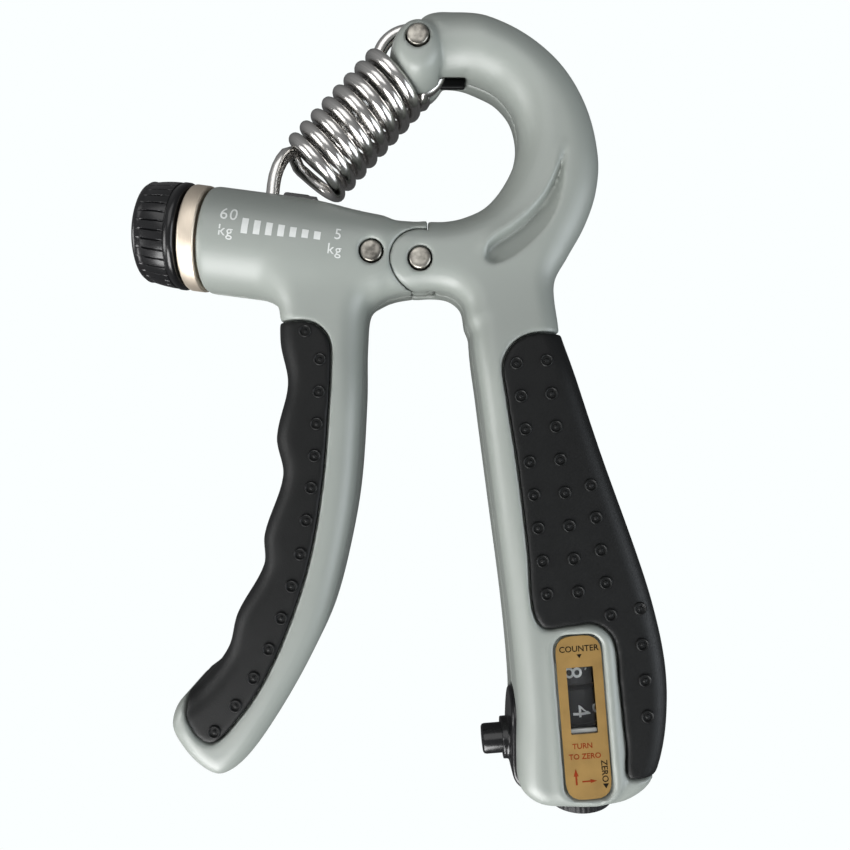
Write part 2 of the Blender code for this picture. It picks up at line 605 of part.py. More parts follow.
def make_lever():
    """Barrel, knuckle and finger handle, with pad, pins, bush and screws."""
    body = outline_solid("lever_body", [LEVER_OUTLINE], LEVER_HALF, rounding=HANDLE_ROUND - 0.5)
    barrel = cylinder("barrel", on_barrel(BARREL_START), on_barrel(BARREL_MOUTH), BARREL_RADIUS, segments=32)
    combine(body, "UNION", barrel, solver="MANIFOLD")
    combine(body, "DIFFERENCE", knuckle_seam(), solver="MANIFOLD")
    tongue = cylinder("tongue", FRONT * -TONGUE_HALF, FRONT * TONGUE_HALF, TONGUE_RADIUS, segments=40)
    combine(body, "UNION", tongue, solver="MANIFOLD")
    settle(body)
    pad, groove = pad_and_groove("finger_grip_pad", body, LEVER_OUTLINE, FINGER_PAD_REGION, LEVER_HALF,
                                 "grip_rubber")
    hollow = outline_solid("lever_hollow", [LEVER_HOLLOW], LEVER_HALF - PAD_DEPTH - GAP - WALL)
    keep = [bore(f"lever_boss_{i}", at, SCREW_SHANK + BOSS_WALL) for i, at in enumerate(LEVER_SCREWS)]
    combine(hollow, "DIFFERENCE", *keep, solver="MANIFOLD")
    settle(hollow)
    barrel_hollow = cylinder("barrel_hollow", on_barrel(13.0), on_barrel(BARREL_MOUTH + 5.0), BARREL_BORE,
                             segments=32)
    block_room = block("block_room", on_barrel(9.4), (8.0, 8.8, 11.0), tilt=-BARREL_TILT)
    slot = block("hook_slot", on_barrel(25.0, 9.0), (24.0, 10.0, 2.0 * SLOT_HALF), tilt=-BARREL_TILT)
    pin = bore("lever_pin_bore", on_barrel(LEVER_PIN_AT), PIN_RADIUS + GAP)
    bush = bore("bush_bore", (0.0, 0.0), BUSH_RADIUS + GAP)
    shanks = screw_holes("lever_shank_room", LEVER_SCREWS, SCREW_REACH + GAP, SCREW_SHANK)
    shared = [pin, bush, *shanks, barrel_hollow, block_room, slot, hollow, groove]
    heads = screw_holes("lever_head_room", LEVER_SCREWS, -LEVER_HALF + HEAD_DEPTH, SCREW_HEAD)
    shells = split_shells(body, ("lever_front_shell", "lever_back_shell"), shared, [], heads)
    bushing = ring("pivot_bush", FRONT * -(TONGUE_HALF - 0.1), FRONT, 2.0 * TONGUE_HALF - 0.2, BUSH_RADIUS,
                   PIN_RADIUS + GAP, "bush_plastic", 24)
    return [*shells, pad, rivet("lever_pin", on_barrel(LEVER_PIN_AT), LEVER_HALF + 0.3), bushing,
            *closing_screws("lever_screw", LEVER_SCREWS, LEVER_HALF)]


def knuckle_seam():
    """Cutter that gives the frame's cheeks and hub their room beside the lever."""
    radius = CHEEK_RADIUS + GAP
    edge = KNUCKLE_SEAM_X - GAP
    first = math.acos(edge / radius)
    last = math.radians(239.0)
    steps = 16
    arc = [(radius * math.cos(first + (last - first) * s / steps),
            radius * math.sin(first + (last - first) * s / steps)) for s in range(steps + 1)]
    outline = [(edge, 25.0)] + arc + [(arc[-1][0], -25.0), (25.0, -25.0), (25.0, 25.0)]
    return outline_solid("knuckle_seam_room", [outline], 30.0, smooth=False)


def make_adjuster():
    """Slider, nut and hook pin; lead screw, knob and what holds them; collar and bearings."""
    slider = block("spring_slider", on_barrel(28.0, 2.2), (11.6, 13.4, 9.6), "black_plastic", -BARREL_TILT)
    slot_width = 2.0 * SLOT_HALF
    strip_size = (6.2, 3.8, slot_width - 2.0 * GAP)
    combine(slider, "INTERSECT",
            cylinder("slider_envelope", on_barrel(10.0), on_barrel(45.0), BARREL_BORE - GAP, segments=32))
    combine(slider, "UNION",
            block("slider_strip", on_barrel(25.1, 9.0), strip_size, tilt=-BARREL_TILT))
    combine(slider, "DIFFERENCE",
            block("hook_room", on_barrel(29.7, 5.5), (12.0, 6.2, slot_width), tilt=-BARREL_TILT),
            block("leg_room", on_barrel(33.0, 8.0), (7.4, 8.0, slot_width), tilt=-BARREL_TILT),
            cylinder("nut_room", on_barrel(15.0), on_barrel(40.0), NUT_RADIUS + GAP, segments=20),
            bore("hook_pin_bore", HOOK_PIN, HOOK_PIN_RADIUS + GAP))
    nut = ring("slider_nut", on_barrel(22.6), BARREL_AXIS, 10.8, NUT_RADIUS, SCREW_RADIUS + 0.2, "brass", 20)
    hook_pin = cylinder("slider_hook_pin", HOOK_PIN + FRONT * -3.3, HOOK_PIN + FRONT * 3.3, HOOK_PIN_RADIUS,
                        "steel", 16)
    groove = 37.4
    groove_end = groove + 1.2
    screw_profile = [
        (0.0, 50.6), (SCREW_END_RADIUS, 50.6), (SCREW_END_RADIUS, groove_end), (1.2, groove_end),
        (1.2, groove), (SCREW_RADIUS, groove), (SCREW_RADIUS, 14.2), (1.3, 14.2), (1.3, 11.9), (0.0, 11.9),
    ]
    screw = turned("lead_screw", Vector((0.0, 0.0, 0.0)), BARREL_AXIS, screw_profile, "steel", 20)
    anchor = block("thrust_block", on_barrel(9.4), (7.2, 8.0, 10.2), "steel", -BARREL_TILT)
    combine(anchor, "DIFFERENCE",
            cylinder("journal_bore", on_barrel(11.5), on_barrel(20.0), 1.7, segments=20),
            bore("anchor_pin_bore", on_barrel(LEVER_PIN_AT), PIN_RADIUS + GAP))
    washer = ring("thrust_washer", on_barrel(13.3), BARREL_AXIS, 0.6, 3.6, 1.7, "brass", 20)
    end_bore = SCREW_END_RADIUS + GAP
    bearing = ring("barrel_bearing", on_barrel(38.9), BARREL_AXIS, 2.6, BARREL_BORE - GAP, end_bore,
                   "bush_plastic", 28)
    circlip = ring("screw_circlip", on_barrel(groove + 0.3), BARREL_AXIS, 0.6, 2.8, 1.45, "steel", 20)
    collar = ring("knob_collar", on_barrel(BARREL_MOUTH + GAP), BARREL_AXIS,
                  COLLAR_END - BARREL_MOUTH - 2 * GAP, BARREL_RADIUS - 0.2, 7.0, "champagne", 28)
    knob_profile = [
        (BARREL_RADIUS - 0.9, KNOB_END), (BARREL_RADIUS, KNOB_END - 0.9), (BARREL_RADIUS, COLLAR_END + 0.8),
        (BARREL_RADIUS - 0.5, COLLAR_END + 0.2), (end_bore, COLLAR_END + 0.2), (end_bore, 51.0), (3.6, 51.0),
        (3.6, KNOB_END),
    ]
    knob = turned("adjuster_knob", Vector((0.0, 0.0, 0.0)), BARREL_AXIS, knob_profile, "black_plastic", 28)
    knob_screw = turned("knob_screw", on_barrel(51.3), BARREL_AXIS,
                        [(0.0, 2.0), (2.6, 2.0), (3.2, 1.4), (3.2, 0.0), (0.0, 0.0)], "steel", 20)
    return [slider, nut, hook_pin], [screw, circlip, knob, knob_screw], [anchor, washer, bearing, collar]


def make_spring():
    """Extension spring: full loop and coil in one wire, and its lower hook."""
    loop_centre = NOSE_PIN - SPRING_AXIS * LOOP_DROP
    path = []
    loop_steps = 16
    for step in range(loop_steps + 1):
        angle = math.radians(218.0 - 242.0 * step / loop_steps)
        radial = SPRING_SIDE * -math.cos(angle) + SPRING_AXIS * math.sin(angle)
        path.append(loop_centre + radial * COIL_RADIUS)
    total = round(COIL_TURNS * COIL_STEPS)
    for step in range(1, total + 1):
        angle = math.pi + 2.0 * math.pi * step / COIL_STEPS
        along = COIL_START + COIL_PITCH * step / COIL_STEPS
        radial = SPRING_SIDE * math.cos(angle) + FRONT * math.sin(angle)
        path.append(NOSE_PIN - SPRING_AXIS * along + radial * COIL_RADIUS)
    coil = wire("extension_spring", path, WIRE_RADIUS, "steel", NOSE_PIN)
    reach = WIRE_RADIUS + HOOK_PIN_RADIUS + 0.2
    leg = HOOK_PIN - Vector((reach, 0.0, 0.0))
    start = path[-1] - SPRING_AXIS * 1.6 + SPRING_SIDE * 1.9
    hook_path = [start, start + Vector((-1.2, -2.4, 0.0))]
    hook_path += [leg + Vector((0.0, rise, 0.0)) for rise in (6.0, 2.0)]
    for step in range(8):
        angle = math.radians(180.0 + 25.0 * step)
        hook_path.append(HOOK_PIN + Vector((math.cos(angle), math.sin(angle), 0.0)) * reach)
    hook = wire("spring_lower_hook", hook_path, WIRE_RADIUS, "steel", HOOK_PIN)
    bush = ring("spring_bush", NOSE_PIN + FRONT * -1.5, FRONT, 3.0, SPRING_BUSH_RADIUS, PIN_RADIUS + GAP,
                "bush_plastic", 24)
    return coil, hook, bush


def parent_to(name, at, parent, pieces):
    """Empty on a joint's axis that carries the pieces."""
    empty = bpy.data.objects.new(name, None)
    empty.location = place(*at)
    grip_parts.objects.link(empty)
    bpy.context.view_layer.update()
    members = list(pieces)
    if parent:
        empty.parent = parent
        empty.matrix_parent_inverse = parent.matrix_world.inverted()
    for piece in members:
        piece.parent = empty
        piece.matrix_parent_inverse = empty.matrix_world.inverted()
    bpy.context.view_layer.update()
    return empty


for old in list(bpy.data.objects):
    bpy.data.objects.remove(old, do_unlink=True)
grip_parts = bpy.data.collections.new("hand_grip_strengthener")
cutters = bpy.data.collections.new("cutters")
bpy.context.scene.collection.children.link(grip_parts)
bpy.context.scene.collection.children.link(cutters)

frame_pieces = make_frame()
counter_frame, units_pieces, tens_pieces, reset_pieces = make_counter()
button_pieces, bezel = make_button()
lever_pieces = make_lever()
slider_pieces, adjuster_pieces, barrel_pieces = make_adjuster()
coil, hook, spring_bush = make_spring()

frame_body = parent_to("frame_axis", (0.0, 0.0, 0.0), None, frame_pieces + counter_frame + [bezel])
lever_body = parent_to("squeeze_axis", (0.0, 0.0, 0.0), frame_body, lever_pieces + barrel_pieces)
parent_to("adjuster_axis", on_barrel(0.0), lever_body, adjuster_pieces)
parent_to("slider_axis", HOOK_PIN, lever_body, slider_pieces)
bush_body = parent_to("nose_axis", NOSE_PIN, frame_body, [spring_bush])
coil_body = parent_to("coil_axis", NOSE_PIN, bush_body, [coil])
parent_to("hook_axis", HOOK_PIN, coil_body, [hook])
parent_to("button_axis", BUTTON_TIP, frame_body, button_pieces)
parent_to("units_axis", COUNTER_AT, frame_body, units_pieces)
parent_to("tens_axis", COUNTER_AT, frame_body, tens_pieces)
parent_to("reset_axis", COUNTER_AT, frame_body, reset_pieces)
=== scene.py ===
"""Looks of the adjustable hand grip strengthener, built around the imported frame.

Places are in millimetres from the pivot's centre, +Y from the handles up to the spring's nose,
+X towards the palm handle and +Z out of the front.  Moulded pieces are distance fields (negative
inside) that are turned into meshes, so that their edges, recesses and blends are real geometry.
"""
import json
import math
from itertools import product

import bmesh
import bpy
import numpy as np
from mathutils import Matrix, Vector


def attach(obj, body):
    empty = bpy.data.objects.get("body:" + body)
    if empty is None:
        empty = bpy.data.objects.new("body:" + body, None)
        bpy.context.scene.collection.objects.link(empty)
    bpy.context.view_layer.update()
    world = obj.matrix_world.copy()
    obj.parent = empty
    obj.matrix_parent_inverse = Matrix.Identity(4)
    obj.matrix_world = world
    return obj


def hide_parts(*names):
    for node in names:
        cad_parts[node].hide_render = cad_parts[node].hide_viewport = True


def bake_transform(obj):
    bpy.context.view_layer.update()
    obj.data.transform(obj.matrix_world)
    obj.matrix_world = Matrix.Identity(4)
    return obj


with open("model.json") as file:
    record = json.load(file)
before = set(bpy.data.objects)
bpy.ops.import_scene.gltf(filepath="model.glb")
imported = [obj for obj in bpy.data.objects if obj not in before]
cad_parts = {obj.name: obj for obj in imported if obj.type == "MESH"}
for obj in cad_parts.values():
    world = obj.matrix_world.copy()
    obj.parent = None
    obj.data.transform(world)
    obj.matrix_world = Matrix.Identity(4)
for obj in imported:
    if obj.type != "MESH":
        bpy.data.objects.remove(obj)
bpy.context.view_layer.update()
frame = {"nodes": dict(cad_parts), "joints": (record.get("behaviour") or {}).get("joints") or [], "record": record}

MM = 0.001
JOINTS = {joint["name"]: joint for joint in frame["joints"]}


def joint_at(name):
    """Joint's centre in metres."""
    return Vector(JOINTS[name]["pos_m"])


PIVOT = joint_at("squeeze")


def from_pivot(point):
    """Millimetres off the pivot, from a point of the frame in metres."""
    return (Vector(point) - PIVOT) / MM


BARREL_AXIS = Vector(JOINTS["knob_turn"]["axis"]).normalized()
BARREL_UP = Vector((BARREL_AXIS.y, -BARREL_AXIS.x, 0.0))
NOSE_PIN = from_pivot(joint_at("spring_swing"))
HOOK_PIN = from_pivot(joint_at("spring_stretch"))
COUNTER_AXIS = Vector(JOINTS["units_wheel_turn"]["axis"]).normalized()
COUNTER_AT = from_pivot(joint_at("units_wheel_turn"))
BUTTON_AXIS = Vector(JOINTS["button_press"]["axis"]).normalized()
BUTTON_TIP = from_pivot(joint_at("button_press"))
FRONT = Vector((0.0, 0.0, 1.0))

UP = Vector((0.0, 1.0, 0.0))
CENTRE = Vector((0.0, 0.0, 0.0))

# Moulded bodies
VOXEL = 0.5
SEAM = 0.03                      # half of the gap between a front and a back shell
RUN_GAP = 0.12                   # between pieces that run past each other
ARM_HALF = 8.7                   # half of a thickness, as all that end in HALF
HANDLE_HALF = 11.7
LEVER_HALF = 10.2
KNUCKLE_HALF = 8.9
TONGUE_HALF = 3.0
NOSE_HALF = 8.8
SLOT_HALF = 1.8
ARM_ROUND = 6.4                  # rounding of an edge, as all that end in ROUND
KNUCKLE_ROUND = 5.2
HANDLE_ROUND = 4.0
SHELL_WALL = 3.9
PAD_DEPTH = 1.6
PIN_HOLE = 2.32
CHEEK_RADIUS = 5.6
TONGUE_RADIUS = 5.2
SEAM_X = 1.5                     # where the cheeks end beside the lever
SLOT_NOTCH = (6.4, 35.4, 1.7)
NOSE_RADII = (5.75, 6.9, 10.4)

# Barrel, by distance along its axis
KNUCKLE_RADIUS = 8.2
BARREL_RADIUS = 10.4
BARREL_BORE = 8.8
LEVER_PIN_AT = 9.2
BARREL_MOUTH = 41.8
COLLAR_END = 45.3
KNOB_END = 54.4
SCALE_BARS = (2.9, 2.65, 2.4, 2.2, 1.9, 1.6, 1.5)
SCALE_SLOPE = -7.5

# Spring
WIRE_RADIUS = 1.3
COIL_RADIUS = 6.45
COIL_PITCH = 3.16
COIL_START = 5.0
COIL_TURNS = 8.5
STEPS_PER_TURN = 24
HOOK_RADIUS = 2.5

# Counter, by distance along its axis; heights are off the mid-plane
LABEL_AT = 3.5
LABEL_SIZE = (8.3, 29.8)
LABEL_FLOOR = 10.6
LABEL_TOP = 11.68
PRINT_TOP = LABEL_TOP - 0.01
WINDOW_AT = 0.4
WINDOW_SIZE = (4.9, 12.2)
WHEEL_RADIUS = 6.2
BEZEL_AT = 0.5

# Outlines at the mid-plane, counter-clockwise seen from the front
ARM_OUTLINE = [
    (-1.0, 44.0), (-1.2, 39.0), (3.2, 36.9), (8.6, 36.5), (12.1, 35.4), (15.2, 33.6),
    (18.0, 30.0), (19.2, 24.8), (18.5, 20.2), (16.1, 15.1), (12.6, 11.0), (8.3, 8.9), (4.8, 8.2),
    (1.5, 8.2), (-4.0, 8.3), (-12.0, 7.0), (-12.0, -4.0), (-4.0, -5.6), (2.6, -5.4), (5.9, -6.0),
    (8.2, -8.0), (9.6, -12.5), (17.6, -16.0), (25.2, -13.6), (25.8, -4.0), (28.6, 1.3), (31.9, 7.2),
    (34.1, 13.5), (34.6, 20.5), (32.5, 29.7), (27.9, 37.8), (21.1, 43.9), (13.0, 47.8), (4.5, 49.3),
    (0.0, 48.0),
]
PALM_OUTLINE = [
    (11.2, -8.4), (9.9, -13.0), (11.4, -26.1), (14.1, -46.9), (16.8, -67.7), (18.3, -84.4),
    (18.2, -93.0), (18.8, -98.9), (22.0, -101.7), (27.0, -102.3), (34.0, -102.0), (38.9, -100.8),
    (42.9, -97.6), (45.2, -91.0), (46.0, -82.0), (45.4, -74.0), (43.3, -64.5), (40.3, -55.0),
    (33.5, -36.0), (27.2, -16.9), (24.4, -9.0), (20.6, -5.8), (15.5, -5.6),
]
LEVER_OUTLINE = [
    (5.0, 7.5), (-1.1, 7.9), (-12.6, 8.6), (-21.1, 8.0), (-26.5, 4.0), (-29.5, -3.0),
    (-27.2, -9.0), (-26.6, -16.0), (-25.0, -23.6), (-27.0, -33.6), (-25.8, -40.8), (-29.3, -51.8),
    (-29.4, -57.6), (-34.4, -66.8), (-36.1, -73.2), (-40.7, -79.3), (-45.4, -83.4), (-46.7, -87.5),
    (-44.9, -91.4), (-41.3, -95.3), (-37.4, -97.0), (-33.4, -94.7), (-28.4, -88.3), (-21.6, -76.8),
    (-17.4, -67.4), (-14.2, -55.0), (-12.1, -42.6), (-11.0, -26.0), (-10.7, -15.0), (-9.6, -8.2),
    (-5.5, -6.3), (-1.5, -5.6), (3.0, -5.2),
]
PALM_PAD_REGION = [
    (60.0, -13.0), (25.4, -14.2), (20.6, -14.4), (17.2, -16.2), (15.2, -20.0), (15.8, -26.0),
    (17.8, -38.7), (19.7, -54.4), (20.6, -65.0), (22.6, -68.4), (27.1, -68.0), (32.0, -67.7),
    (35.2, -70.4), (36.3, -78.2), (37.6, -90.0), (38.6, -96.0), (60.0, -89.2),
]
FINGER_PAD_REGION = [
    (-60.0, -11.7), (-25.4, -11.7), (-20.1, -12.1), (-17.3, -14.4), (-16.5, -17.5), (-16.9, -29.6),
    (-18.0, -42.6), (-20.4, -56.5), (-24.4, -69.0), (-29.4, -79.8), (-35.0, -87.4), (-38.3, -90.1),
    (-41.0, -89.0), (-43.2, -85.4), (-44.0, -82.0), (-60.0, -76.0),
]
CRESCENT_INNER = [
    (12.1, 0.5), (12.6, 2.2), (13.9, 3.7), (17.4, 6.0), (21.2, 9.3), (24.2, 13.4), (27.0, 20.4),
]
CRESCENT_OUTER = [
    (12.1, 0.5), (12.7, -0.7), (14.4, -1.1), (17.7, 0.3), (22.2, 4.1), (25.2, 8.4), (26.7, 13.6),
    (27.2, 20.4),
]
FRAME_SCREWS = [(25.7, 28.5), (18.5, -3.5), (23.6, -98.6)]
LEVER_SCREWS = [(-14.0, -20.0), (-16.0, -50.0), (-28.6, -82.6)]

# Small round bosses on the pads
FINGER_BOSSES = [
    (-21.3, -13.8), (-18.5, -19.1), (-18.6, -25.1), (-19.0, -31.0), (-19.4, -36.9), (-20.0, -42.8),
    (-20.9, -48.8), (-22.0, -55.0), (-23.6, -60.9), (-25.5, -66.8), (-27.8, -72.5), (-30.6, -77.8),
    (-33.9, -82.9), (-37.8, -87.7),
]
PALM_BOSS_ROWS = [
    ((17.6, -20.0), (23.1, -62.0), 8), ((23.1, -19.5), (28.8, -61.6), 8),
    ((31.1, -42.2), (34.7, -65.8), 5), ((40.0, -64.6), (41.4, -84.2), 4),
]

# Spring's end between the coil and the hook
SPRING_AXIS = Vector((math.cos(math.radians(47.2)), math.sin(math.radians(47.2)), 0.0))
SPRING_SIDE = Vector((-SPRING_AXIS.y, SPRING_AXIS.x, 0.0))
SPRING_LEG = [
    (-26.2, 23.9, -2.2), (-27.7, 21.6, -0.4), (-28.9, 18.3, 0.0), (-29.4, 14.7, 0.0), (-29.5, 12.0, 0.0),
]


def on_barrel(distance, height=0.0, z=0.0):
    """Place off the pivot, by distance along the barrel's axis and height over it."""
    return BARREL_AXIS * distance + BARREL_UP * height + FRONT * z


def on_counter(distance, side=0.0, z=0.0):
    """Place off the pivot, by distance along the counter's shaft, +side away from the button."""
    return COUNTER_AT + COUNTER_AXIS * distance + BUTTON_AXIS * side + FRONT * z


# ---- distance fields


def smooth_max(a, b, width):
    """Larger of two fields, with the edge between them rounded over about the given width."""
    overlap = np.maximum(width - np.abs(a - b), 0.0) / width
    return np.maximum(a, b) + overlap * overlap * width * 0.25


def smooth_min(a, b, width):
    return -smooth_max(-a, -b, width)


def cut(field, cutter, width=0.5):
    return smooth_max(field, -cutter, width)


def ramp(value, low, high):
    """0 below low, 1 above high and smooth between."""
    t = np.clip((value - low) / (high - low), 0.0, 1.0)
    return t * t * (3.0 - 2.0 * t)


def rounded_curve(points, closed=True, steps=7):
    """Points along a smooth curve through the given ones."""
    knots = np.array(points, float)
    before_first, after_last = (knots[-1:], knots[:2]) if closed else (knots[:1], knots[-1:])
    row = np.vstack([before_first, knots, after_last])
    curve = []
    for p0, p1, p2, p3 in zip(row, row[1:], row[2:], row[3:]):
        chord = np.linalg.norm(p2 - p1)
        before = (p2 - p0) * chord / (np.linalg.norm(p1 - p0) + chord)
        after = (p3 - p1) * chord / (np.linalg.norm(p3 - p2) + chord)
        for step in range(steps):
            t = step / steps
            curve.append((2 * t**3 - 3 * t**2 + 1) * p1 + (t**3 - 2 * t**2 + t) * before
                         + (3 * t**2 - 2 * t**3) * p2 + (t**3 - t**2) * after)
    if not closed:
        curve.append(knots[-1])
    return np.array(curve)


def line_distance(curve, x, y):
    """Distance to an open line."""
    nearest = np.full(np.broadcast(x, y).shape, 1.0e9)
    for (ax, ay), (bx, by) in zip(curve, curve[1:]):
        ex, ey = bx - ax, by - ay
        wx, wy = x - ax, y - ay
        t = np.clip((wx * ex + wy * ey) / (ex * ex + ey * ey), 0.0, 1.0)
        nearest = np.minimum(nearest, (wx - t * ex) ** 2 + (wy - t * ey) ** 2)
    return np.sqrt(nearest)


def outline_distance(curve, x, y):
    """Distance to a closed outline, negative inside."""
    inside = np.zeros(np.broadcast(x, y).shape, bool)
    closed = np.vstack([curve, curve[:1]])
    for (ax, ay), (bx, by) in zip(closed, closed[1:]):
        if ay != by:
            inside ^= ((ay <= y) != (by <= y)) & (x < ax + (bx - ax) * (y - ay) / (by - ay))
    distance = line_distance(closed, x, y)
    return np.where(inside, -distance, distance)


def rounded_block(faces, rounding):
    """Room inside all the faces, given as distance fields at right angles, edges rounded."""
    faces = [face + rounding for face in faces]
    outer = np.sqrt(sum(np.maximum(face, 0.0) ** 2 for face in faces))
    inner = faces[0]
    for face in faces[1:]:
        inner = np.maximum(inner, face)
    return outer + np.minimum(inner, 0.0) - rounding


def plate(distance, z, half, rounding):
    """Plate of an outline's distance field, with rounded edges."""
    return rounded_block((distance, np.abs(z) - half), rounding)


def ellipsoid(x, y, z, centre, radii):
    scaled = [(value - middle) / radius for value, middle, radius in zip((x, y, z), centre, radii)]
    first = np.sqrt(sum(s * s for s in scaled))
    second = np.sqrt(sum((s / radius) ** 2 for s, radius in zip(scaled, radii))) + 1.0e-9
    return first * (first - 1.0) / second


def disc(x, y, centre, radius):
    return np.sqrt((x - centre[0]) ** 2 + (y - centre[1]) ** 2) - radius


def along(x, y, start, axis):
    """Distance along an axis in the mid-plane and height beside it."""
    px, py = x - start[0], y - start[1]
    return px * axis.x + py * axis.y, py * -axis.x + px * axis.y


def rod(x, y, z, start, axis, radius, low, high):
    """Cylinder along an axis parallel to the mid-plane."""
    distance, height = along(x, y, start, axis)
    return np.maximum(np.maximum(low - distance, distance - high),
                      np.sqrt(height**2 + (z - start[2]) ** 2) - radius)


def union(fields):
    return np.minimum.reduce(np.broadcast_arrays(*fields))


def box(x, y, z, centre, size, axis, rounding=0.0):
    """Block with its second side along an axis in the mid-plane."""
    v, u = along(x, y, centre, axis)
    places = (u, v, z - centre[2])
    return rounded_block([np.abs(place) - length / 2 for place, length in zip(places, size)], rounding)


def label_distance(x, y, size, rounding, at):
    """Distance to the label's or the window's rounded outline in the counter's plane."""
    v, u = along(x, y, on_counter(at), COUNTER_AXIS)
    return rounded_block((np.abs(u) - size[0] / 2, np.abs(v) - size[1] / 2), rounding)


# ---- meshes from fields


def sample(values, places):
    """Values of a grid at places between its points."""
    base = np.clip(np.floor(places).astype(int), 0, np.array(values.shape) - 2)
    part = places - base
    total = np.zeros(len(places))
    for shift in product((0, 1), repeat=3):
        weight = np.ones(len(places))
        for axis in range(3):
            weight *= part[:, axis] if shift[axis] else 1.0 - part[:, axis]
        index = base + shift
        total += weight * values[index[:, 0], index[:, 1], index[:, 2]]
    return total


def net(values):
    """Surface where a grid of values passes zero: vertices in grid steps, and quads."""
    inside = values < 0.0
    size = np.array(values.shape) - 1
    corners = [inside[i:i + size[0], j:j + size[1], k:k + size[2]]
               for i, j, k in product((0, 1), repeat=3)]
    count = np.sum(corners, axis=0)
    cells = np.argwhere((count > 0) & (count < 8))
    number = np.full(size, -1)
    number[tuple(cells.T)] = np.arange(len(cells))
    total = np.zeros((len(cells), 3))
    crossings = np.zeros(len(cells))
    for axis in range(3):
        others = [a for a in range(3) if a != axis]
        for shift in product((0, 1), repeat=2):
            start = cells.copy()
            start[:, others] += shift
            end = start.copy()
            end[:, axis] += 1
            first, second = values[tuple(start.T)], values[tuple(end.T)]
            crossed = (first < 0.0) != (second < 0.0)
            share = np.where(crossed, first / np.where(crossed, first - second, 1.0), 0.0)
            point = start.astype(float)
            point[:, axis] += share
            total += point * crossed[:, None]
            crossings += crossed
    verts = total / crossings[:, None]
    quads = []
    for axis in range(3):
        b, c = (axis + 1) % 3, (axis + 2) % 3
        near = [slice(None)] * 3
        far = [slice(None)] * 3
        near[axis], far[axis] = slice(0, -1), slice(1, None)
        for other in (b, c):
            near[other] = far[other] = slice(1, -1)
        first, second = inside[tuple(near)], inside[tuple(far)]
        for outward in (True, False):
            edges = np.argwhere((first & ~second) if outward else (second & ~first))
            edges[:, [b, c]] += 1
            ring = []
            for shift_b, shift_c in ((-1, -1), (0, -1), (0, 0), (-1, 0)):
                cell = edges.copy()
                cell[:, b] += shift_b
                cell[:, c] += shift_c
                ring.append(number[tuple(cell.T)])
            quads.append(np.stack(ring if outward else ring[::-1], axis=1))
    return verts, np.vstack(quads)


def to_surface(values, verts, rounds=2):
    """Vertices moved onto the surface along the field's slope."""
    for _ in range(rounds):
        slope = np.stack([sample(values, verts + shift) - sample(values, verts - shift)
                          for shift in np.eye(3) * 0.5], axis=1)
        steepness = np.maximum((slope**2).sum(axis=1), 0.01)
        move = slope * (sample(values, verts) / steepness)[:, None]
        verts = verts - np.clip(move, -0.4, 0.4)
    return verts


def moulded(name, field, low, high, step, finish, body, node=None):
    """Mesh piece of a distance field between two corners, in place of a CAD node."""
    axes = [np.arange(start - step, end + 2.0 * step, step) for start, end in zip(low, high)]
    x, y, z = np.ix_(*axes)
    values = np.broadcast_to(field(x, y, z), [len(a) for a in axes]).astype(float)
    verts, quads = net(values)
    verts = to_surface(values, verts)
    places = verts * step + np.array([a[0] for a in axes])
    add_piece(name, places, quads.tolist(), finish, body, node)


def new_object(name, data):
    """Object in the scene with the given mesh, curve, light or camera."""
    thing = bpy.data.objects.new(name, data)
    bpy.context.scene.collection.objects.link(thing)
    return thing


def add_piece(name, places, faces, finish, body=None, node=None):
    """Mesh piece from places in millimetres off the pivot.

    It rides on the body, and stands for the CAD node where one is named.
    """
    mesh = bpy.data.meshes.new(name)
    mesh.from_pydata((np.array(places) * MM + np.array(PIVOT)).tolist(), [], faces)
    mesh.update()
    mesh.shade_smooth()
    mesh.materials.append(MATERIALS[finish])
    piece = new_object(name, mesh)
    if body:
        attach(piece, body)
    if node:
        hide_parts(node)
    return piece


# ---- finishes


def set_sockets(tree, node, **values):
    """Sets or links a node's inputs; an underscore in a name stands for a space."""
    for name, value in values.items():
        socket = node.inputs[name.replace("_", " ")]
        if isinstance(value, bpy.types.NodeSocket):
            tree.links.new(value, socket)
        else:
            socket.default_value = value


def add_node(tree, kind, **values):
    node = tree.nodes.new("ShaderNode" + kind)
    set_sockets(tree, node, **values)
    return node


def noise(tree, vector, scale, detail):
    return add_node(tree, "TexNoise", Vector=vector, Scale=scale, Detail=detail,
                    Roughness=0.5).outputs["Fac"]


def spread(tree, value, low, high):
    """Noise value spread between two limits."""
    return add_node(tree, "MapRange", Value=value, From_Min=0.3, From_Max=0.7, To_Min=low,
                    To_Max=high).outputs["Result"]


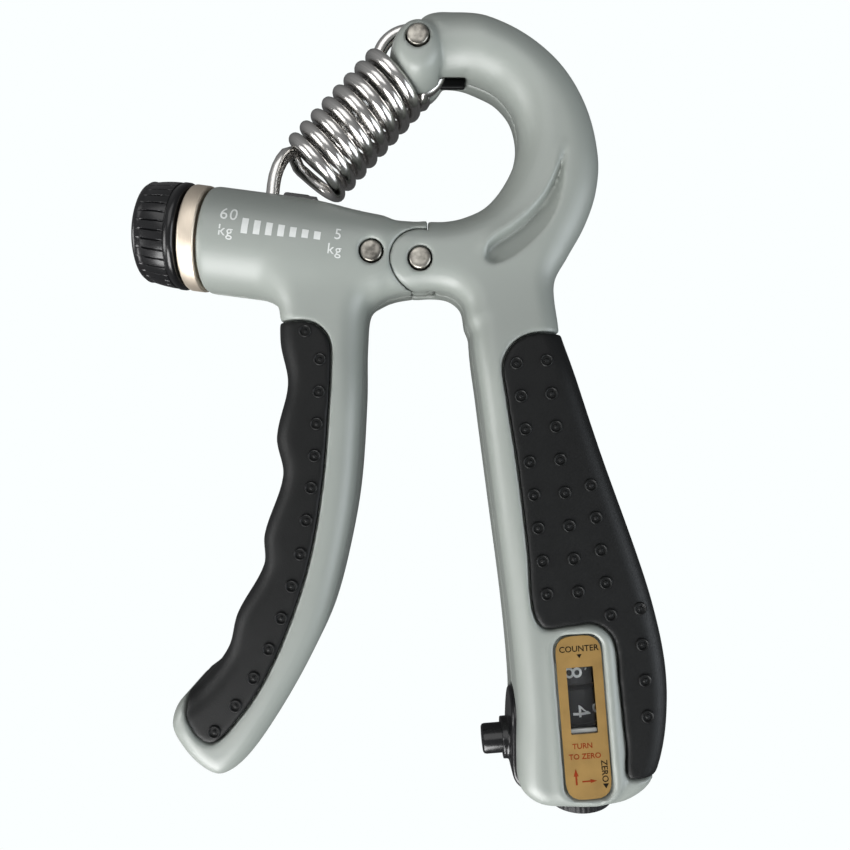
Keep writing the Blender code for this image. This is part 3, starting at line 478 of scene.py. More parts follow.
def make_finish(name, colour, roughness, metallic=0.0, shade=0.06, patch=90.0, grain=2500.0,
                depth=0.02, stretch=(1.0, 1.0, 1.0), along_piece=False, **sockets):
    """Moulded, rubbed or drawn surface: broad shade, fine grain in roughness and bump.

    patch and grain are noise scales per metre, or per unit of the UV where along_piece is set.
    depth is the bump's depth in millimetres.
    """
    material = bpy.data.materials.new(name)
    material.use_nodes = True
    tree = material.node_tree
    coordinate = add_node(tree, "TexCoord").outputs["UV" if along_piece else "Object"]
    vector = add_node(tree, "Mapping", Vector=coordinate, Scale=stretch).outputs["Vector"]
    fine = noise(tree, vector, grain, 2.0)
    mix = add_node(tree, "Mix")
    mix.data_type = "RGBA"
    set_sockets(tree, mix, Factor=spread(tree, noise(tree, vector, patch, 4.0), 0.0, 1.0),
                A=(*(c * (1.0 - shade) for c in colour), 1.0),
                B=(*(min(c * (1.0 + shade), 1.0) for c in colour), 1.0))
    bump = add_node(tree, "Bump", Strength=1.0, Distance=depth * MM, Height=fine)
    rough = spread(tree, fine, roughness * 0.85, min(roughness * 1.15, 1.0))
    set_sockets(tree, tree.nodes["Principled BSDF"], Base_Color=mix.outputs["Result"],
                Roughness=rough, Normal=bump.outputs["Normal"], Metallic=metallic, **sockets)
    return material


# Material's name, the record's slot, colour, roughness and what else make_finish() takes
FINISHES = {
    "body": ("satin_grey_shell", "body_grey", (0.2, 0.218, 0.2), 0.42, dict(
        shade=0.025, patch=60.0, grain=5000.0, depth=0.004, Coat_Weight=0.4, Coat_Roughness=0.55)),
    "rubber": ("soft_black_rubber", "grip_rubber", (0.0035, 0.0038, 0.0038), 0.5, dict(
        shade=0.18, patch=220.0, grain=3600.0, Specular_IOR_Level=0.2)),
    "black": ("moulded_black", "black_plastic", (0.005, 0.005, 0.0055), 0.22, dict(
        shade=0.1, grain=4200.0, depth=0.005, Coat_Weight=0.1, Coat_Roughness=0.2,
        Specular_IOR_Level=0.38)),
    "satin_black": ("satin_black", "black_plastic", (0.005, 0.005, 0.0055), 0.5, dict(
        shade=0.1, grain=4200.0, depth=0.005, Specular_IOR_Level=0.22)),
    "steel": ("plated_steel", "steel", (0.56, 0.545, 0.52), 0.2, dict(
        metallic=1.0, shade=0.12, patch=700.0, grain=3000.0, depth=0.004)),
    "wire": ("drawn_wire", "steel", (0.6, 0.585, 0.565), 0.16, dict(
        metallic=1.0, shade=0.16, patch=14.0, grain=30.0, depth=0.012, stretch=(0.5, 6.0, 1.0),
        along_piece=True)),
    "rivet": ("rivet_head", "steel", (0.28, 0.265, 0.235), 0.36, dict(
        metallic=1.0, shade=0.6, patch=600.0, grain=2600.0, depth=0.003)),
    "brass": ("turned_brass", "brass", (0.72, 0.54, 0.25), 0.3, dict(
        metallic=1.0, grain=3000.0, depth=0.01)),
    "champagne": ("turned_champagne", "champagne", (0.66, 0.58, 0.48), 0.5, dict(
        metallic=1.0, shade=0.04, patch=1.0, grain=9.0, depth=0.01, stretch=(1.0, 60.0, 1.0),
        along_piece=True)),
    "gold": ("gold_film", "label_gold", (0.27, 0.165, 0.05), 0.38, dict(
        metallic=0.4, shade=0.12, patch=260.0, grain=3000.0, depth=0.004)),
    "ink": ("black_ink", "label_gold", (0.008, 0.006, 0.004), 0.6, dict(
        shade=0.1, depth=0.003, Specular_IOR_Level=0.05)),
    "red_ink": ("red_ink", "label_gold", (0.17, 0.022, 0.006), 0.6, dict(
        shade=0.12, patch=900.0, depth=0.003, Specular_IOR_Level=0.05)),
    "wheel": ("wheel_black", "wheel_plastic", (0.014, 0.014, 0.015), 0.45, dict(
        grain=4000.0, depth=0.006)),
    "print": ("white_print", "wheel_plastic", (0.5, 0.515, 0.5), 0.5, dict(
        shade=0.05, patch=900.0, depth=0.004)),
    "digit": ("white_digits", "wheel_plastic", (0.8, 0.81, 0.8), 0.5, dict(
        shade=0.05, patch=900.0, depth=0.004)),
    "bush": ("natural_acetal", "bush_plastic", (0.78, 0.77, 0.72), 0.45, dict(
        shade=0.03, depth=0.005, Subsurface_Weight=0.1, Subsurface_Scale=0.001)),
    "clear": ("clear_window", "clear_plastic", (0.95, 0.97, 0.98), 0.05, dict(
        shade=0.01, depth=0.001, Transmission_Weight=1.0, IOR=1.45)),
}
MATERIALS = {}
FINISH_OF_SLOT = {}              # the first finish listed for a slot is the CAD nodes' one
for finish_key, (material_name, slot, base_colour, rough_value, settings) in FINISHES.items():
    MATERIALS[finish_key] = make_finish(material_name, base_colour, rough_value, **settings)
    FINISH_OF_SLOT.setdefault(slot, finish_key)


def finish_cad_nodes():
    """Node-based finish on every node that is carried over from the frame."""
    slots = {row["node"]: row["material_slot"] for row in frame["record"]["subparts"]}
    for name, node in frame["nodes"].items():
        node.data.materials.clear()
        node.data.materials.append(MATERIALS[FINISH_OF_SLOT[slots[name]]])


# ---- moulded bodies


ARM_CURVE = rounded_curve(ARM_OUTLINE)
PALM_CURVE = rounded_curve(PALM_OUTLINE)
LEVER_CURVE = rounded_curve(LEVER_OUTLINE)
PALM_PAD_CURVE = rounded_curve(PALM_PAD_REGION)
FINGER_PAD_CURVE = rounded_curve(FINGER_PAD_REGION)
CRESCENT_INNER_CURVE = rounded_curve(CRESCENT_INNER, closed=False)
CRESCENT_OUTER_CURVE = rounded_curve(CRESCENT_OUTER, closed=False)
CRESCENT_CURVE = np.vstack([CRESCENT_OUTER_CURVE, CRESCENT_INNER_CURVE[-2:0:-1]])


def crescent_depth(x, y):
    """Depth of the crescent scoop: steep on its inner side, running out on its outer side."""
    inner = line_distance(CRESCENT_INNER_CURVE, x, y)
    outer = line_distance(CRESCENT_OUTER_CURVE, x, y)
    inside = outline_distance(CRESCENT_CURVE, x, y) < 0.0
    across = inner / (inner + outer + 0.01)
    scoop = 2.8 * ramp(inner, 0.0, 0.8) * (1.0 - across) ** 0.8
    ridge = 0.35 * np.exp(-((inner - 0.6) / 0.8) ** 2) * (outer > inner) * ramp(outer, 0.3, 2.0)
    return np.where(inside, scoop, -ridge)


def label_relief(x, y):
    """Raised band round the label, on its right, upper and lower sides."""
    rim = label_distance(x, y, LABEL_SIZE, 3.4, LABEL_AT)
    v, u = along(x, y, on_counter(LABEL_AT), COUNTER_AXIS)
    share = ramp(-u, -LABEL_SIZE[0] / 2 - 1.0, LABEL_SIZE[0] / 2)
    return 0.75 * ramp(rim, 2.8, 1.4) * (0.25 + 0.75 * share)


def frame_solid(x, y, z):
    """Arm, palm handle, nose and cheeks, without any openings."""
    handle = ramp(y, -1.0, -24.0)
    distance = smooth_min(outline_distance(ARM_CURVE, x, y), outline_distance(PALM_CURVE, x, y), 1.4)
    half = ARM_HALF + (HANDLE_HALF - ARM_HALF) * handle
    rounding = ARM_ROUND + (HANDLE_ROUND - ARM_ROUND) * ramp(y, 12.0, -14.0)
    half = half - 1.3 * ramp(y, 30.0, 38.0) * ramp(x, 13.0, 5.0)
    body = plate(distance, z, half + label_relief(x, y) * (z > 0.0), rounding)
    body = body + crescent_depth(x, y)
    nose_at = (NOSE_PIN.x + 0.05, NOSE_PIN.y - 1.4, 0.0)
    nose = smooth_max(ellipsoid(x, y, z, nose_at, NOSE_RADII), np.abs(z) - NOSE_HALF, 1.6)
    body = smooth_min(body, nose, 0.5)
    beside = np.minimum(SEAM_X - x, disc(x, y, CENTRE, CHEEK_RADIUS))
    return smooth_max(body, np.minimum(beside, 20.0 - y), 0.2)


def frame_openings(x, y, z, front):
    """Everything that is hollow in a frame shell, as one field."""
    tongue = np.maximum(np.abs(z) - TONGUE_HALF - 0.3, disc(x, y, CENTRE, TONGUE_RADIUS + 0.6))
    loop_at = NOSE_PIN - SPRING_AXIS * 2.6
    beside = np.maximum(np.abs(x - 5.0) - 4.2, np.abs(y - 37.5) - 2.6)
    loop = np.maximum(np.abs(z) - SLOT_HALF, np.minimum(disc(x, y, loop_at, 8.8), beside))
    notch = box(x, y, z, SLOT_NOTCH, (5.2, 3.0, 7.0), UP)
    pivot = disc(x, y, CENTRE, PIN_HOLE)
    nose = disc(x, y, NOSE_PIN, PIN_HOLE)
    counter = box(x, y, z, on_counter(0.8, 1.2, -1.3), (16.4, 24.6, 16.4), COUNTER_AXIS)
    button = rod(x, y, z, BUTTON_TIP, BUTTON_AXIS, 3.6, 0.0, 13.0)
    reset = rod(x, y, z, COUNTER_AT, COUNTER_AXIS, 6.7, 19.7, 40.0)
    shaft = rod(x, y, z, COUNTER_AT, COUNTER_AXIS, 1.7, 0.0, 24.0)
    fields = [tongue, loop, notch, pivot, nose, counter, button, reset, shaft]
    if front:
        label = np.maximum(label_distance(x, y, LABEL_SIZE, 2.4, LABEL_AT) - 0.32, LABEL_FLOOR - z)
        window = np.maximum(label_distance(x, y, WINDOW_SIZE, 0.3, WINDOW_AT) - 0.5, 4.0 - z)
        fields += [label, window]
    fields += [screw_opening(x, y, z, at, front, ARM_HALF) for at in FRAME_SCREWS]
    return union(fields)


def screw_opening(x, y, z, at, front, face):
    """Hole of a closing screw, with the head's recess in the back shell."""
    shank = np.maximum(disc(x, y, at, 1.35), z - 4.3)
    if front:
        return shank
    return np.minimum(shank, np.maximum(disc(x, y, at, 2.45), z + face - 2.1))


def hollow(body, x, y, bosses):
    """Inside of a shell, with round bosses left standing."""
    inner = body + SHELL_WALL
    for at, radius in bosses:
        inner = np.maximum(inner, -disc(x, y, at, radius))
    return inner


def bezel_edge(x, y, z):
    """Distance to the rounded outline of the button's bezel, on the handle's inner side."""
    v, u = along(x, y, BUTTON_TIP + COUNTER_AXIS * BEZEL_AT, COUNTER_AXIS)
    stadium = np.sqrt(np.maximum(np.abs(v) - 4.6, 0.0) ** 2 + z**2) - 5.8
    depth = along(x, y, BUTTON_TIP, BUTTON_AXIS)[0]
    return np.maximum(stadium, depth - 9.5)


def half_shell(solid, openings, pad_curve, bosses, front):
    """Hollow half of a body, with a bed for its rubber pad and its openings cut out."""
    def field(x, y, z):
        body = solid(x, y, z)
        bed = np.maximum(outline_distance(pad_curve, x, y) - 0.12, -(body + PAD_DEPTH + 0.1))
        shell = cut(body, bed, 0.6)
        shell = cut(shell, hollow(body, x, y, bosses), 0.3)
        shell = cut(shell, openings(x, y, z, front), 0.45)
        if solid is frame_solid:
            shell = cut(shell, np.maximum(bezel_edge(x, y, z) - 0.1, -body - 1.1), 0.2)
        return smooth_max(shell, SEAM - z if front else SEAM + z, 0.15)
    return field


def lever_solid(x, y, z):
    """Barrel, knuckle and finger handle, without any openings."""
    s, height = along(x, y, CENTRE, BARREL_AXIS)
    handle = ramp(y, -8.0, -30.0)
    half = KNUCKLE_HALF + (LEVER_HALF - KNUCKLE_HALF) * handle
    rounding = KNUCKLE_ROUND + (HANDLE_ROUND - KNUCKLE_ROUND) * handle
    body = plate(outline_distance(LEVER_CURVE, x, y), z, half, rounding)
    radius = KNUCKLE_RADIUS + (BARREL_RADIUS - KNUCKLE_RADIUS) * ramp(s, 2.0, 25.0)
    barrel = smooth_max(np.sqrt(height**2 + z**2) - radius, np.maximum(8.0 - s, s - BARREL_MOUTH), 1.6)
    body = smooth_min(body, barrel, 3.0)
    room = np.minimum(disc(x, y, CENTRE, CHEEK_RADIUS + RUN_GAP), SEAM_X - RUN_GAP - x)
    body = smooth_max(body, -room, 0.2)
    tongue = np.maximum(np.abs(z) - TONGUE_HALF, disc(x, y, CENTRE, TONGUE_RADIUS))
    return smooth_min(body, tongue, 0.2)


def lever_openings(x, y, z, front):
    s, height = along(x, y, CENTRE, BARREL_AXIS)
    inside = rod(x, y, z, CENTRE, BARREL_AXIS, BARREL_BORE, 13.0, 60.0)
    slot = np.maximum(np.abs(z) - SLOT_HALF, np.maximum(np.abs(s - 25.0) - 12.0, 4.0 - height))
    anchor = box(x, y, z, on_barrel(9.4), (8.8, 8.0, 11.0), BARREL_AXIS)
    pin = disc(x, y, on_barrel(LEVER_PIN_AT), PIN_HOLE)
    bush = disc(x, y, CENTRE, 3.75)
    fields = [inside, slot, anchor, pin, np.maximum(bush, np.abs(z) - 4.0)]
    fields += [screw_opening(x, y, z, at, front, LEVER_HALF) for at in LEVER_SCREWS]
    return union(fields)


def rubber_pad(solid, region_curve):
    """Rubber over a handle's core, a little proud of the shells round it."""
    def field(x, y, z):
        body = solid(x, y, z)
        region = outline_distance(region_curve, x, y)
        pad = smooth_max(body - 0.12, region + 0.16, 0.5)
        return smooth_max(pad, -(body + PAD_DEPTH), 0.3)
    return field


def make_moulded_bodies():
    """Both pairs of half shells and the two rubber pads."""
    frame_bosses = [(at, 2.9) for at in FRAME_SCREWS] + [(CENTRE, 9.5), (NOSE_PIN, 8.0)]
    lever_bosses = [(at, 2.9) for at in LEVER_SCREWS] + [(CENTRE, 9.3), (on_barrel(LEVER_PIN_AT), 5.5)]
    for body, solid, openings, curve, bosses, low, high in (
            ("frame", frame_solid, frame_openings, PALM_PAD_CURVE, frame_bosses,
             (-7.0, -104.0, -12.5), (48.0, 51.0, 13.5)),
            ("lever", lever_solid, lever_openings, FINGER_PAD_CURVE, lever_bosses,
             (-48.0, -98.5, -11.5), (7.0, 17.5, 11.5))):
        moulded(f"{body}_front", half_shell(solid, openings, curve, bosses, True),
                (*low[:2], 0.0), high, VOXEL, "body", body, f"{body}_front_shell")
        moulded(f"{body}_back", half_shell(solid, openings, curve, bosses, False),
                low, (*high[:2], 0.0), VOXEL, "body", body, f"{body}_back_shell")
    moulded("palm_pad", rubber_pad(frame_solid, PALM_PAD_CURVE), (13.0, -98.0, -12.5),
            (47.5, -12.0, 12.5), VOXEL, "rubber", "frame", "palm_grip_pad")
    moulded("finger_pad", rubber_pad(lever_solid, FINGER_PAD_CURVE), (-48.0, -92.0, -11.0),
            (-15.0, -10.5, 11.0), VOXEL, "rubber", "lever", "finger_grip_pad")


# ---- turned, swept and flat pieces


def softened(points, radius, steps=3):
    """Outline with its corners rounded over."""
    count = len(points)
    result = []
    for i, point in enumerate(points):
        knot = Vector(point)
        before, after = Vector(points[i - 1]) - knot, Vector(points[(i + 1) % count]) - knot
        start = knot + before.normalized() * min(radius, before.length * 0.45)
        end = knot + after.normalized() * min(radius, after.length * 0.45)
        for step in range(steps + 1):
            t = step / steps
            result.append(tuple(start * (1 - t) ** 2 + knot * 2 * t * (1 - t) + end * t**2))
    return result


def add_shape(name, shape, finish, body, node=None, crease=38.0):
    """Piece of vertices and faces, with its normals out and its sharp edges kept."""
    piece = add_piece(name, *shape, finish, body, node)
    bm = bmesh.new()
    bm.from_mesh(piece.data)
    bmesh.ops.remove_doubles(bm, verts=bm.verts, dist=0.000001)
    bmesh.ops.recalc_face_normals(bm, faces=bm.faces)
    bm.to_mesh(piece.data)
    bm.free()
    piece.data.set_sharp_from_angle(angle=math.radians(crease))
    return piece


def grid_faces(rows, columns, around=True, closed=False):
    """Quads between the rows of a grid of vertices."""
    faces = []
    for row in range(rows if closed else rows - 1):
        below = (row + 1) % rows
        for column in range(columns if around else columns - 1):
            beside = (column + 1) % columns
            faces.append((row * columns + column, row * columns + beside,
                          below * columns + beside, below * columns + column))
    return faces


def tube_faces(rows, columns):
    """Quads of a tube, and a face over each of its ends."""
    last = (rows - 1) * columns
    return grid_faces(rows, columns) + [tuple(reversed(range(columns))),
                                        tuple(range(last, last + columns))]


def turned_shape(profile, start, axis, steps=64, shape=None, closed=False):
    """Vertices and faces of a turned form; profile holds (radius, distance along the axis)."""
    side = FRONT if abs(axis.z) < 0.5 else Vector((1.0, 0.0, 0.0))
    other = axis.cross(side)
    places = []
    for radius, distance in profile:
        for step in range(steps):
            angle = 2.0 * math.pi * step / steps
            reach = radius - (shape(distance, angle) if shape else 0.0)
            places.append(Vector(start) + axis * distance
                          + (side * math.cos(angle) + other * math.sin(angle)) * reach)
    rows = len(profile)
    return places, grid_faces(rows, steps, closed=True) if closed else tube_faces(rows, steps)


def turned(name, profile, start, axis, finish, body, node, crease=38.0, **options):
    """Turned piece that stands for a CAD node."""
    return add_shape(name, turned_shape(profile, start, axis, **options), finish, body, node, crease)


def wrap_uv(piece, along_axis):
    """UV round and along an axis through the pivot, so that a finish can run round the piece."""
    layer = piece.data.uv_layers.new(name="UVMap")
    side = along_axis.cross(FRONT)
    for loop in piece.data.loops:
        point = (piece.data.vertices[loop.vertex_index].co - PIVOT) / MM
        angle = math.atan2(point.dot(FRONT), point.dot(side))
        layer.data[loop.index].uv = (angle / math.pi, point.dot(along_axis) / 100.0)


def sweep(name, path, radius, finish, sides=18):
    """Round wire along a path, with rounded ends and UV along it."""
    path = np.array(path)
    tangents = np.gradient(path, axis=0)
    tangents /= np.linalg.norm(tangents, axis=1)[:, None]
    normal = np.cross(tangents[0], (0.31, 0.27, 0.91))
    ends = {0: 0.45, 1: 0.85, len(path) - 2: 0.85, len(path) - 1: 0.45}
    places = []
    for index, (point, tangent) in enumerate(zip(path, tangents)):
        normal = normal - tangent * np.dot(normal, tangent)
        normal /= np.linalg.norm(normal)
        other = np.cross(tangent, normal)
        reach = radius * ends.get(index, 1.0)
        for side in range(sides):
            angle = 2.0 * math.pi * side / sides
            places.append(point + (normal * math.cos(angle) + other * math.sin(angle)) * reach)
    piece = add_piece(name, places, tube_faces(len(path), sides), finish)
    layer = piece.data.uv_layers.new(name="UVMap")
    lengths = np.concatenate([[0.0], np.cumsum(np.linalg.norm(np.diff(path, axis=0), axis=1))])
    for polygon in piece.data.polygons:
        columns = [vertex % sides for vertex in polygon.vertices]
        seam = max(columns) - min(columns) > sides / 2
        for index, column in zip(polygon.loop_indices, columns):
            vertex = piece.data.loops[index].vertex_index
            round_it = column + (sides if seam and column == 0 else 0)
            layer.data[index].uv = (lengths[vertex // sides] / 100.0, round_it / sides)
    return piece


def flat_shape(outlines, low, high):
    """Vertices and faces of a flat form with holes, from outlines in the plane."""
    curve = bpy.data.curves.new("flat", "CURVE")
    curve.dimensions = "2D"
    curve.fill_mode = "BOTH"
    curve.extrude = (high - low) / 2
    for outline in outlines:
        spline = curve.splines.new("POLY")
        spline.points.add(len(outline) - 1)
        for knot, point in zip(spline.points, outline):
            knot.co = (*point, 0.0, 1.0)
        spline.use_cyclic_u = True
    return curve_shape(curve, (low + high) / 2)


def curve_shape(curve, lift):
    """Vertices and faces of a curve or text object, which is then removed."""
    guide = new_object(curve.name, curve)
    graph = bpy.context.evaluated_depsgraph_get()
    mesh = bpy.data.meshes.new_from_object(guide.evaluated_get(graph))
    places = [Vector((v.co.x, v.co.y, v.co.z + lift)) for v in mesh.vertices]
    faces = [tuple(polygon.vertices) for polygon in mesh.polygons]
    bpy.data.objects.remove(guide)
    bpy.data.meshes.remove(mesh)
    return places, faces


def lettering(text, height, thickness=0.06, bold=0.0, spread=1.0):
    """Vertices and faces of a word or number, centred on the origin, capitals of the given height."""
    curve = bpy.data.curves.new("lettering", "FONT")
    curve.body = text
    curve.size = height * 1.45
    curve.extrude = thickness / 2
    curve.offset = bold
    curve.space_character = spread
    curve.resolution_u = 3
    curve.align_x = "CENTER"
    places, faces = curve_shape(curve, thickness / 2)
    return [place - Vector((0.0, height / 2, 0.0)) for place in places], faces


def merged(shapes):
    """One list of vertices and faces from several."""
    places, faces = [], []
    for more_places, more_faces in shapes:
        base = len(places)
        places += list(more_places)
        faces += [tuple(index + base for index in face) for face in more_faces]
    return places, faces


def face_height(solid, x, y, side=1.0):
    """Height of a body's front face, or of its back face, over places in the mid-plane."""
    x, y = np.asarray(x, float), np.asarray(y, float)
    low, high = np.full(x.shape, 1.0), np.full(x.shape, 14.0)
    for _ in range(26):
        middle = (low + high) / 2
        inside = solid(x, y, middle * side) < 0.0
        low, high = np.where(inside, middle, low), np.where(inside, high, middle)
    return low * side


def on_face(shape, solid, at, angle=0.0, sink=0.02):
    """A flat shape laid onto a body's front face at a place, turned by an angle in degrees."""
    turn = Matrix.Rotation(math.radians(angle), 3, "Z")
    places = [turn @ Vector(place) + Vector((*at, 0.0)) for place in shape[0]]
    heights = face_height(solid, [p.x for p in places], [p.y for p in places])
    lifted = [Vector((p.x, p.y, height + p.z - sink)) for p, height in zip(places, heights)]
    return lifted, shape[1]


def bar(width, height, thickness=0.06, rows=8, columns=4):
    """Printed bar of small quads, so that it can follow a curved face."""
    places = [Vector((width * (column / columns - 0.5), height * (row / rows - 0.5), thickness))
              for row in range(rows + 1) for column in range(columns + 1)]
    return places, grid_faces(rows + 1, columns + 1, around=False)


# ---- pads' bosses, rivets, screws


def boss_shape(solid, at, side, radius=1.25):
    """Low ring with a dot in it, standing square on a pad."""
    x, y = at
    z = float(face_height(solid, x, y, side))
    step = 0.4
    slope = Vector([float(solid(x + dx, y + dy, z + dz) - solid(x - dx, y - dy, z - dz))
                    for dx, dy, dz in np.eye(3) * step]).normalized()
    profile = [(radius, -0.5), (radius, 0.05), (radius * 0.94, 0.32), (radius * 0.82, 0.42),
               (radius * 0.68, 0.3), (radius * 0.6, 0.06), (radius * 0.4, 0.04), (radius * 0.28, 0.26),
               (0.0, 0.34)]
    return turned_shape(profile, (x, y, z), slope, steps=20)


def boss_rows():
    places = []
    for (x0, y0), (x1, y1), count in PALM_BOSS_ROWS:
        for index in range(count):
            share = index / (count - 1)
            places.append((x0 + (x1 - x0) * share, y0 + (y1 - y0) * share))
    return places


def make_bosses():
    for name, solid, places, body in (("palm_pad_bosses", frame_solid, boss_rows(), "frame"),
                                      ("finger_pad_bosses", lever_solid, FINGER_BOSSES, "lever")):
        shapes = [boss_shape(solid, at, side) for at in places for side in (1.0, -1.0)]
        add_shape(name, merged(shapes), "rubber", body, crease=60.0)


def make_slot_painted_shade():
    """Painted shade: a dark block in the spring's slot, so that the notch beside the nose reads as the slot in
    shade.
    """
    middle = (SLOT_NOTCH[0], SLOT_NOTCH[1] + 1.8, -1.2)

    def field(x, y, z):
        return box(x, y, z, middle, (5.0, 2.0, 1.1), UP, 0.2)

    # painted shade: a dark rubber block where the slot only lies in shade
    moulded("slot_painted_shade", field, (3.5, 35.5, -2.0), (9.2, 38.7, -0.4), 0.3, "rubber", "frame")


def make_rivets():
    """Riveted pins with slightly domed heads at both faces."""
    for node, at, half, body in (("pivot_pin", CENTRE, ARM_HALF + 0.15, "frame"),
                                 ("nose_pin", NOSE_PIN, NOSE_HALF + 0.1, "frame"),
                                 ("lever_pin", on_barrel(LEVER_PIN_AT), LEVER_HALF - 1.0, "lever")):
        head = [(0.0, half), (1.2, half - 0.01), (1.75, half - 0.05), (1.95, half - 0.16),
                (2.03, half - 0.34), (2.05, half - 0.9)]
        profile = head + [(radius, -height) for radius, height in reversed(head)]
        turned(node + "_rivet", profile, (at[0], at[1], 0.0), FRONT, "rivet", body, node, crease=50.0,
               steps=48)


def make_screws():
    """Closing screws, seen from the back, with a cross recess."""
    for name, places, face, body in (("frame_screw", FRAME_SCREWS, ARM_HALF, "frame"),
                                     ("lever_screw", LEVER_SCREWS, LEVER_HALF, "lever")):
        head = -face + 0.5
        for index, at in enumerate(places, start=1):

            def field(x, y, z, at=at, head=head):
                dome = np.sqrt((x - at[0]) ** 2 + (y - at[1]) ** 2 + (z - head - 5.2) ** 2) - 5.3
                top = smooth_max(smooth_max(disc(x, y, at, 2.2), z - head - 1.2, 0.3), dome, 0.3)
                shank = np.maximum(disc(x, y, at, 1.15), z - head - 2.6)
                cross = [box(x, y, z, (*at, head), (width, height, 1.9), UP, 0.15)
                         for width, height in ((0.62, 2.5), (2.5, 0.62))]
                screw = np.minimum(top, np.maximum(shank, head + 0.4 - z))
                return cut(screw, np.minimum(*cross), 0.2)

            moulded(f"{name}_{index}_head", field, (at[0] - 2.5, at[1] - 2.5, head - 0.5),
                    (at[0] + 2.5, at[1] + 2.5, head + 3.0), 0.16, "steel", body, f"{name}_{index}")


# ---- spring


def make_spring():
    """Extension spring in one wire: loop over the nose pin, coil, leg and hook."""
    loop_centre = NOSE_PIN - SPRING_AXIS * 1.8 + SPRING_SIDE * 0.5
    knots = []
    for step in range(STEPS_PER_TURN + 1):
        angle = math.radians(218.0 - 242.0 * step / STEPS_PER_TURN)
        away = SPRING_SIDE * -math.cos(angle) + SPRING_AXIS * math.sin(angle)
        knots.append(loop_centre + away * COIL_RADIUS)
    for step in range(1, round((COIL_TURNS - 0.125) * STEPS_PER_TURN) + 1):
        angle = math.pi + 2.0 * math.pi * step / STEPS_PER_TURN
        distance = COIL_START + COIL_PITCH * step / STEPS_PER_TURN
        knots.append(NOSE_PIN - SPRING_AXIS * distance
                     + (SPRING_SIDE * math.cos(angle) + FRONT * math.sin(angle)) * COIL_RADIUS)
    knots += [Vector(point) for point in SPRING_LEG]
    for step in range(12):
        angle = math.radians(180.0 + 175.0 * step / 11)
        knots.append(HOOK_PIN + Vector((math.cos(angle), math.sin(angle), 0.0)) * HOOK_RADIUS)
    path = rounded_curve([tuple(knot) for knot in knots], closed=False, steps=2)
    spring = sweep("spring_wire", path, WIRE_RADIUS, "wire")
    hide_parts("extension_spring", "spring_lower_hook")
    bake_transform(spring)


# ---- adjuster


def make_knob():
    """Fluted knob, with a recess in its end, and brushed collar."""
    flutes = 36

    def fluting(distance, angle):
        if not KNOB_END - 6.6 < distance < KNOB_END - 1.9:
            return 0.0
        wave = 0.5 + 0.5 * math.cos(angle * flutes)
        return 0.3 * max(wave - 0.93, 0.0) / 0.07

    def moved(profile, distance):
        return [(radius, distance + step) for radius, step in profile]

    rim = moved([(1.9, 0.35), (9.5, 0.35), (10.1, 0.6), (10.4, 1.0), (10.4, 1.75), (10.15, 2.1),
                 (10.15, 2.4)], COLLAR_END)
    grooved = [(10.25 - 0.012 * step**2, KNOB_END - 6.7 + step * 0.7) for step in range(8)]
    end = moved([(9.75, -1.25), (9.35, -0.65), (8.6, -0.25), (7.4, -0.05), (5.2, 0.0), (4.3, -0.1),
                 (3.95, -0.45), (3.8, -3.1), (1.9, -3.1)], KNOB_END)
    turned("fluted_knob", rim + grooved + end, CENTRE, BARREL_AXIS, "black", "adjuster",
           "adjuster_knob", crease=55.0, steps=720, shape=fluting, closed=True)
    inner = moved([(7.1, 0.25), (10.0, 0.25), (10.25, 0.45), (10.3, 0.7)], BARREL_MOUTH)
    outer = moved([(10.3, -0.55), (10.2, -0.3), (9.95, -0.1), (7.1, -0.1)], COLLAR_END)
    collar = turned("brushed_collar", inner + outer, CENTRE, BARREL_AXIS, "champagne", "lever",
                    "knob_collar", steps=96, closed=True)
    wrap_uv(collar, BARREL_AXIS)


def make_slider_strip():
    """Pointer strip of the slider, in the slot on the barrel's top."""
    outline = [(21.9, 6.5), (28.6, 6.5), (28.6, 10.75), (28.2, 11.15), (23.6, 11.15), (23.2, 10.75),
               (22.4, 10.75), (21.9, 10.3)]
    points = softened(outline, 0.35)
    sections = [(-1.45, 0.25), (-1.25, 0.0), (1.25, 0.0), (1.45, 0.25)]
    middle = Vector((25.2, 8.9))
    places = []
    for z, inset in sections:
        for point in points:
            toward = middle - Vector(point)
            s, height = Vector(point) + toward.normalized() * inset
            places.append(on_barrel(s, height, z))
    add_shape("slider_pointer", (places, tube_faces(len(sections), len(points))), "black", "slider")


def make_scale():
    """Force scale on the barrel: a wedge of bars between the lowest and the highest force."""
    shapes = []
    for index, height in enumerate(SCALE_BARS):
        at = (-32.2 + 2.22 * index, 5.4 - 0.3 * index)
        shapes.append(on_face(bar(1.2, height), lever_solid, at, SCALE_SLOPE))
    for text, x, y, height in (("60", -35.2, 7.7, 2.2), ("kg", -35.8, 4.6, 2.0),
                               ("5", -15.1, 4.0, 2.0), ("kg", -15.8, 1.2, 1.9)):
        shapes.append(on_face(lettering(text, height, spread=1.12), lever_solid, (x, y), SCALE_SLOPE))
    add_shape("force_scale", merged(shapes), "print", "lever")


# ---- counter


def counter_shape(shape, distance, side, z, angle=0.0):
    """A flat shape laid in the counter's plane: +X of the shape along the button's axis."""
    turn = Matrix.Rotation(math.radians(angle), 3, "Z")
    places = []
    for point in shape[0]:
        flat = turn @ Vector(point)
        at = on_counter(distance - flat.y, side + flat.x)
        places.append(Vector((at.x, at.y, z + flat.z)))
    return places, shape[1]


def rounded_rectangle(width, height, rounding, centre=(0.0, 0.0)):
    x, y = centre
    outline = [(x - width / 2, y - height / 2), (x + width / 2, y - height / 2),
               (x + width / 2, y + height / 2), (x - width / 2, y + height / 2)]
    return softened(outline, rounding, steps=5)


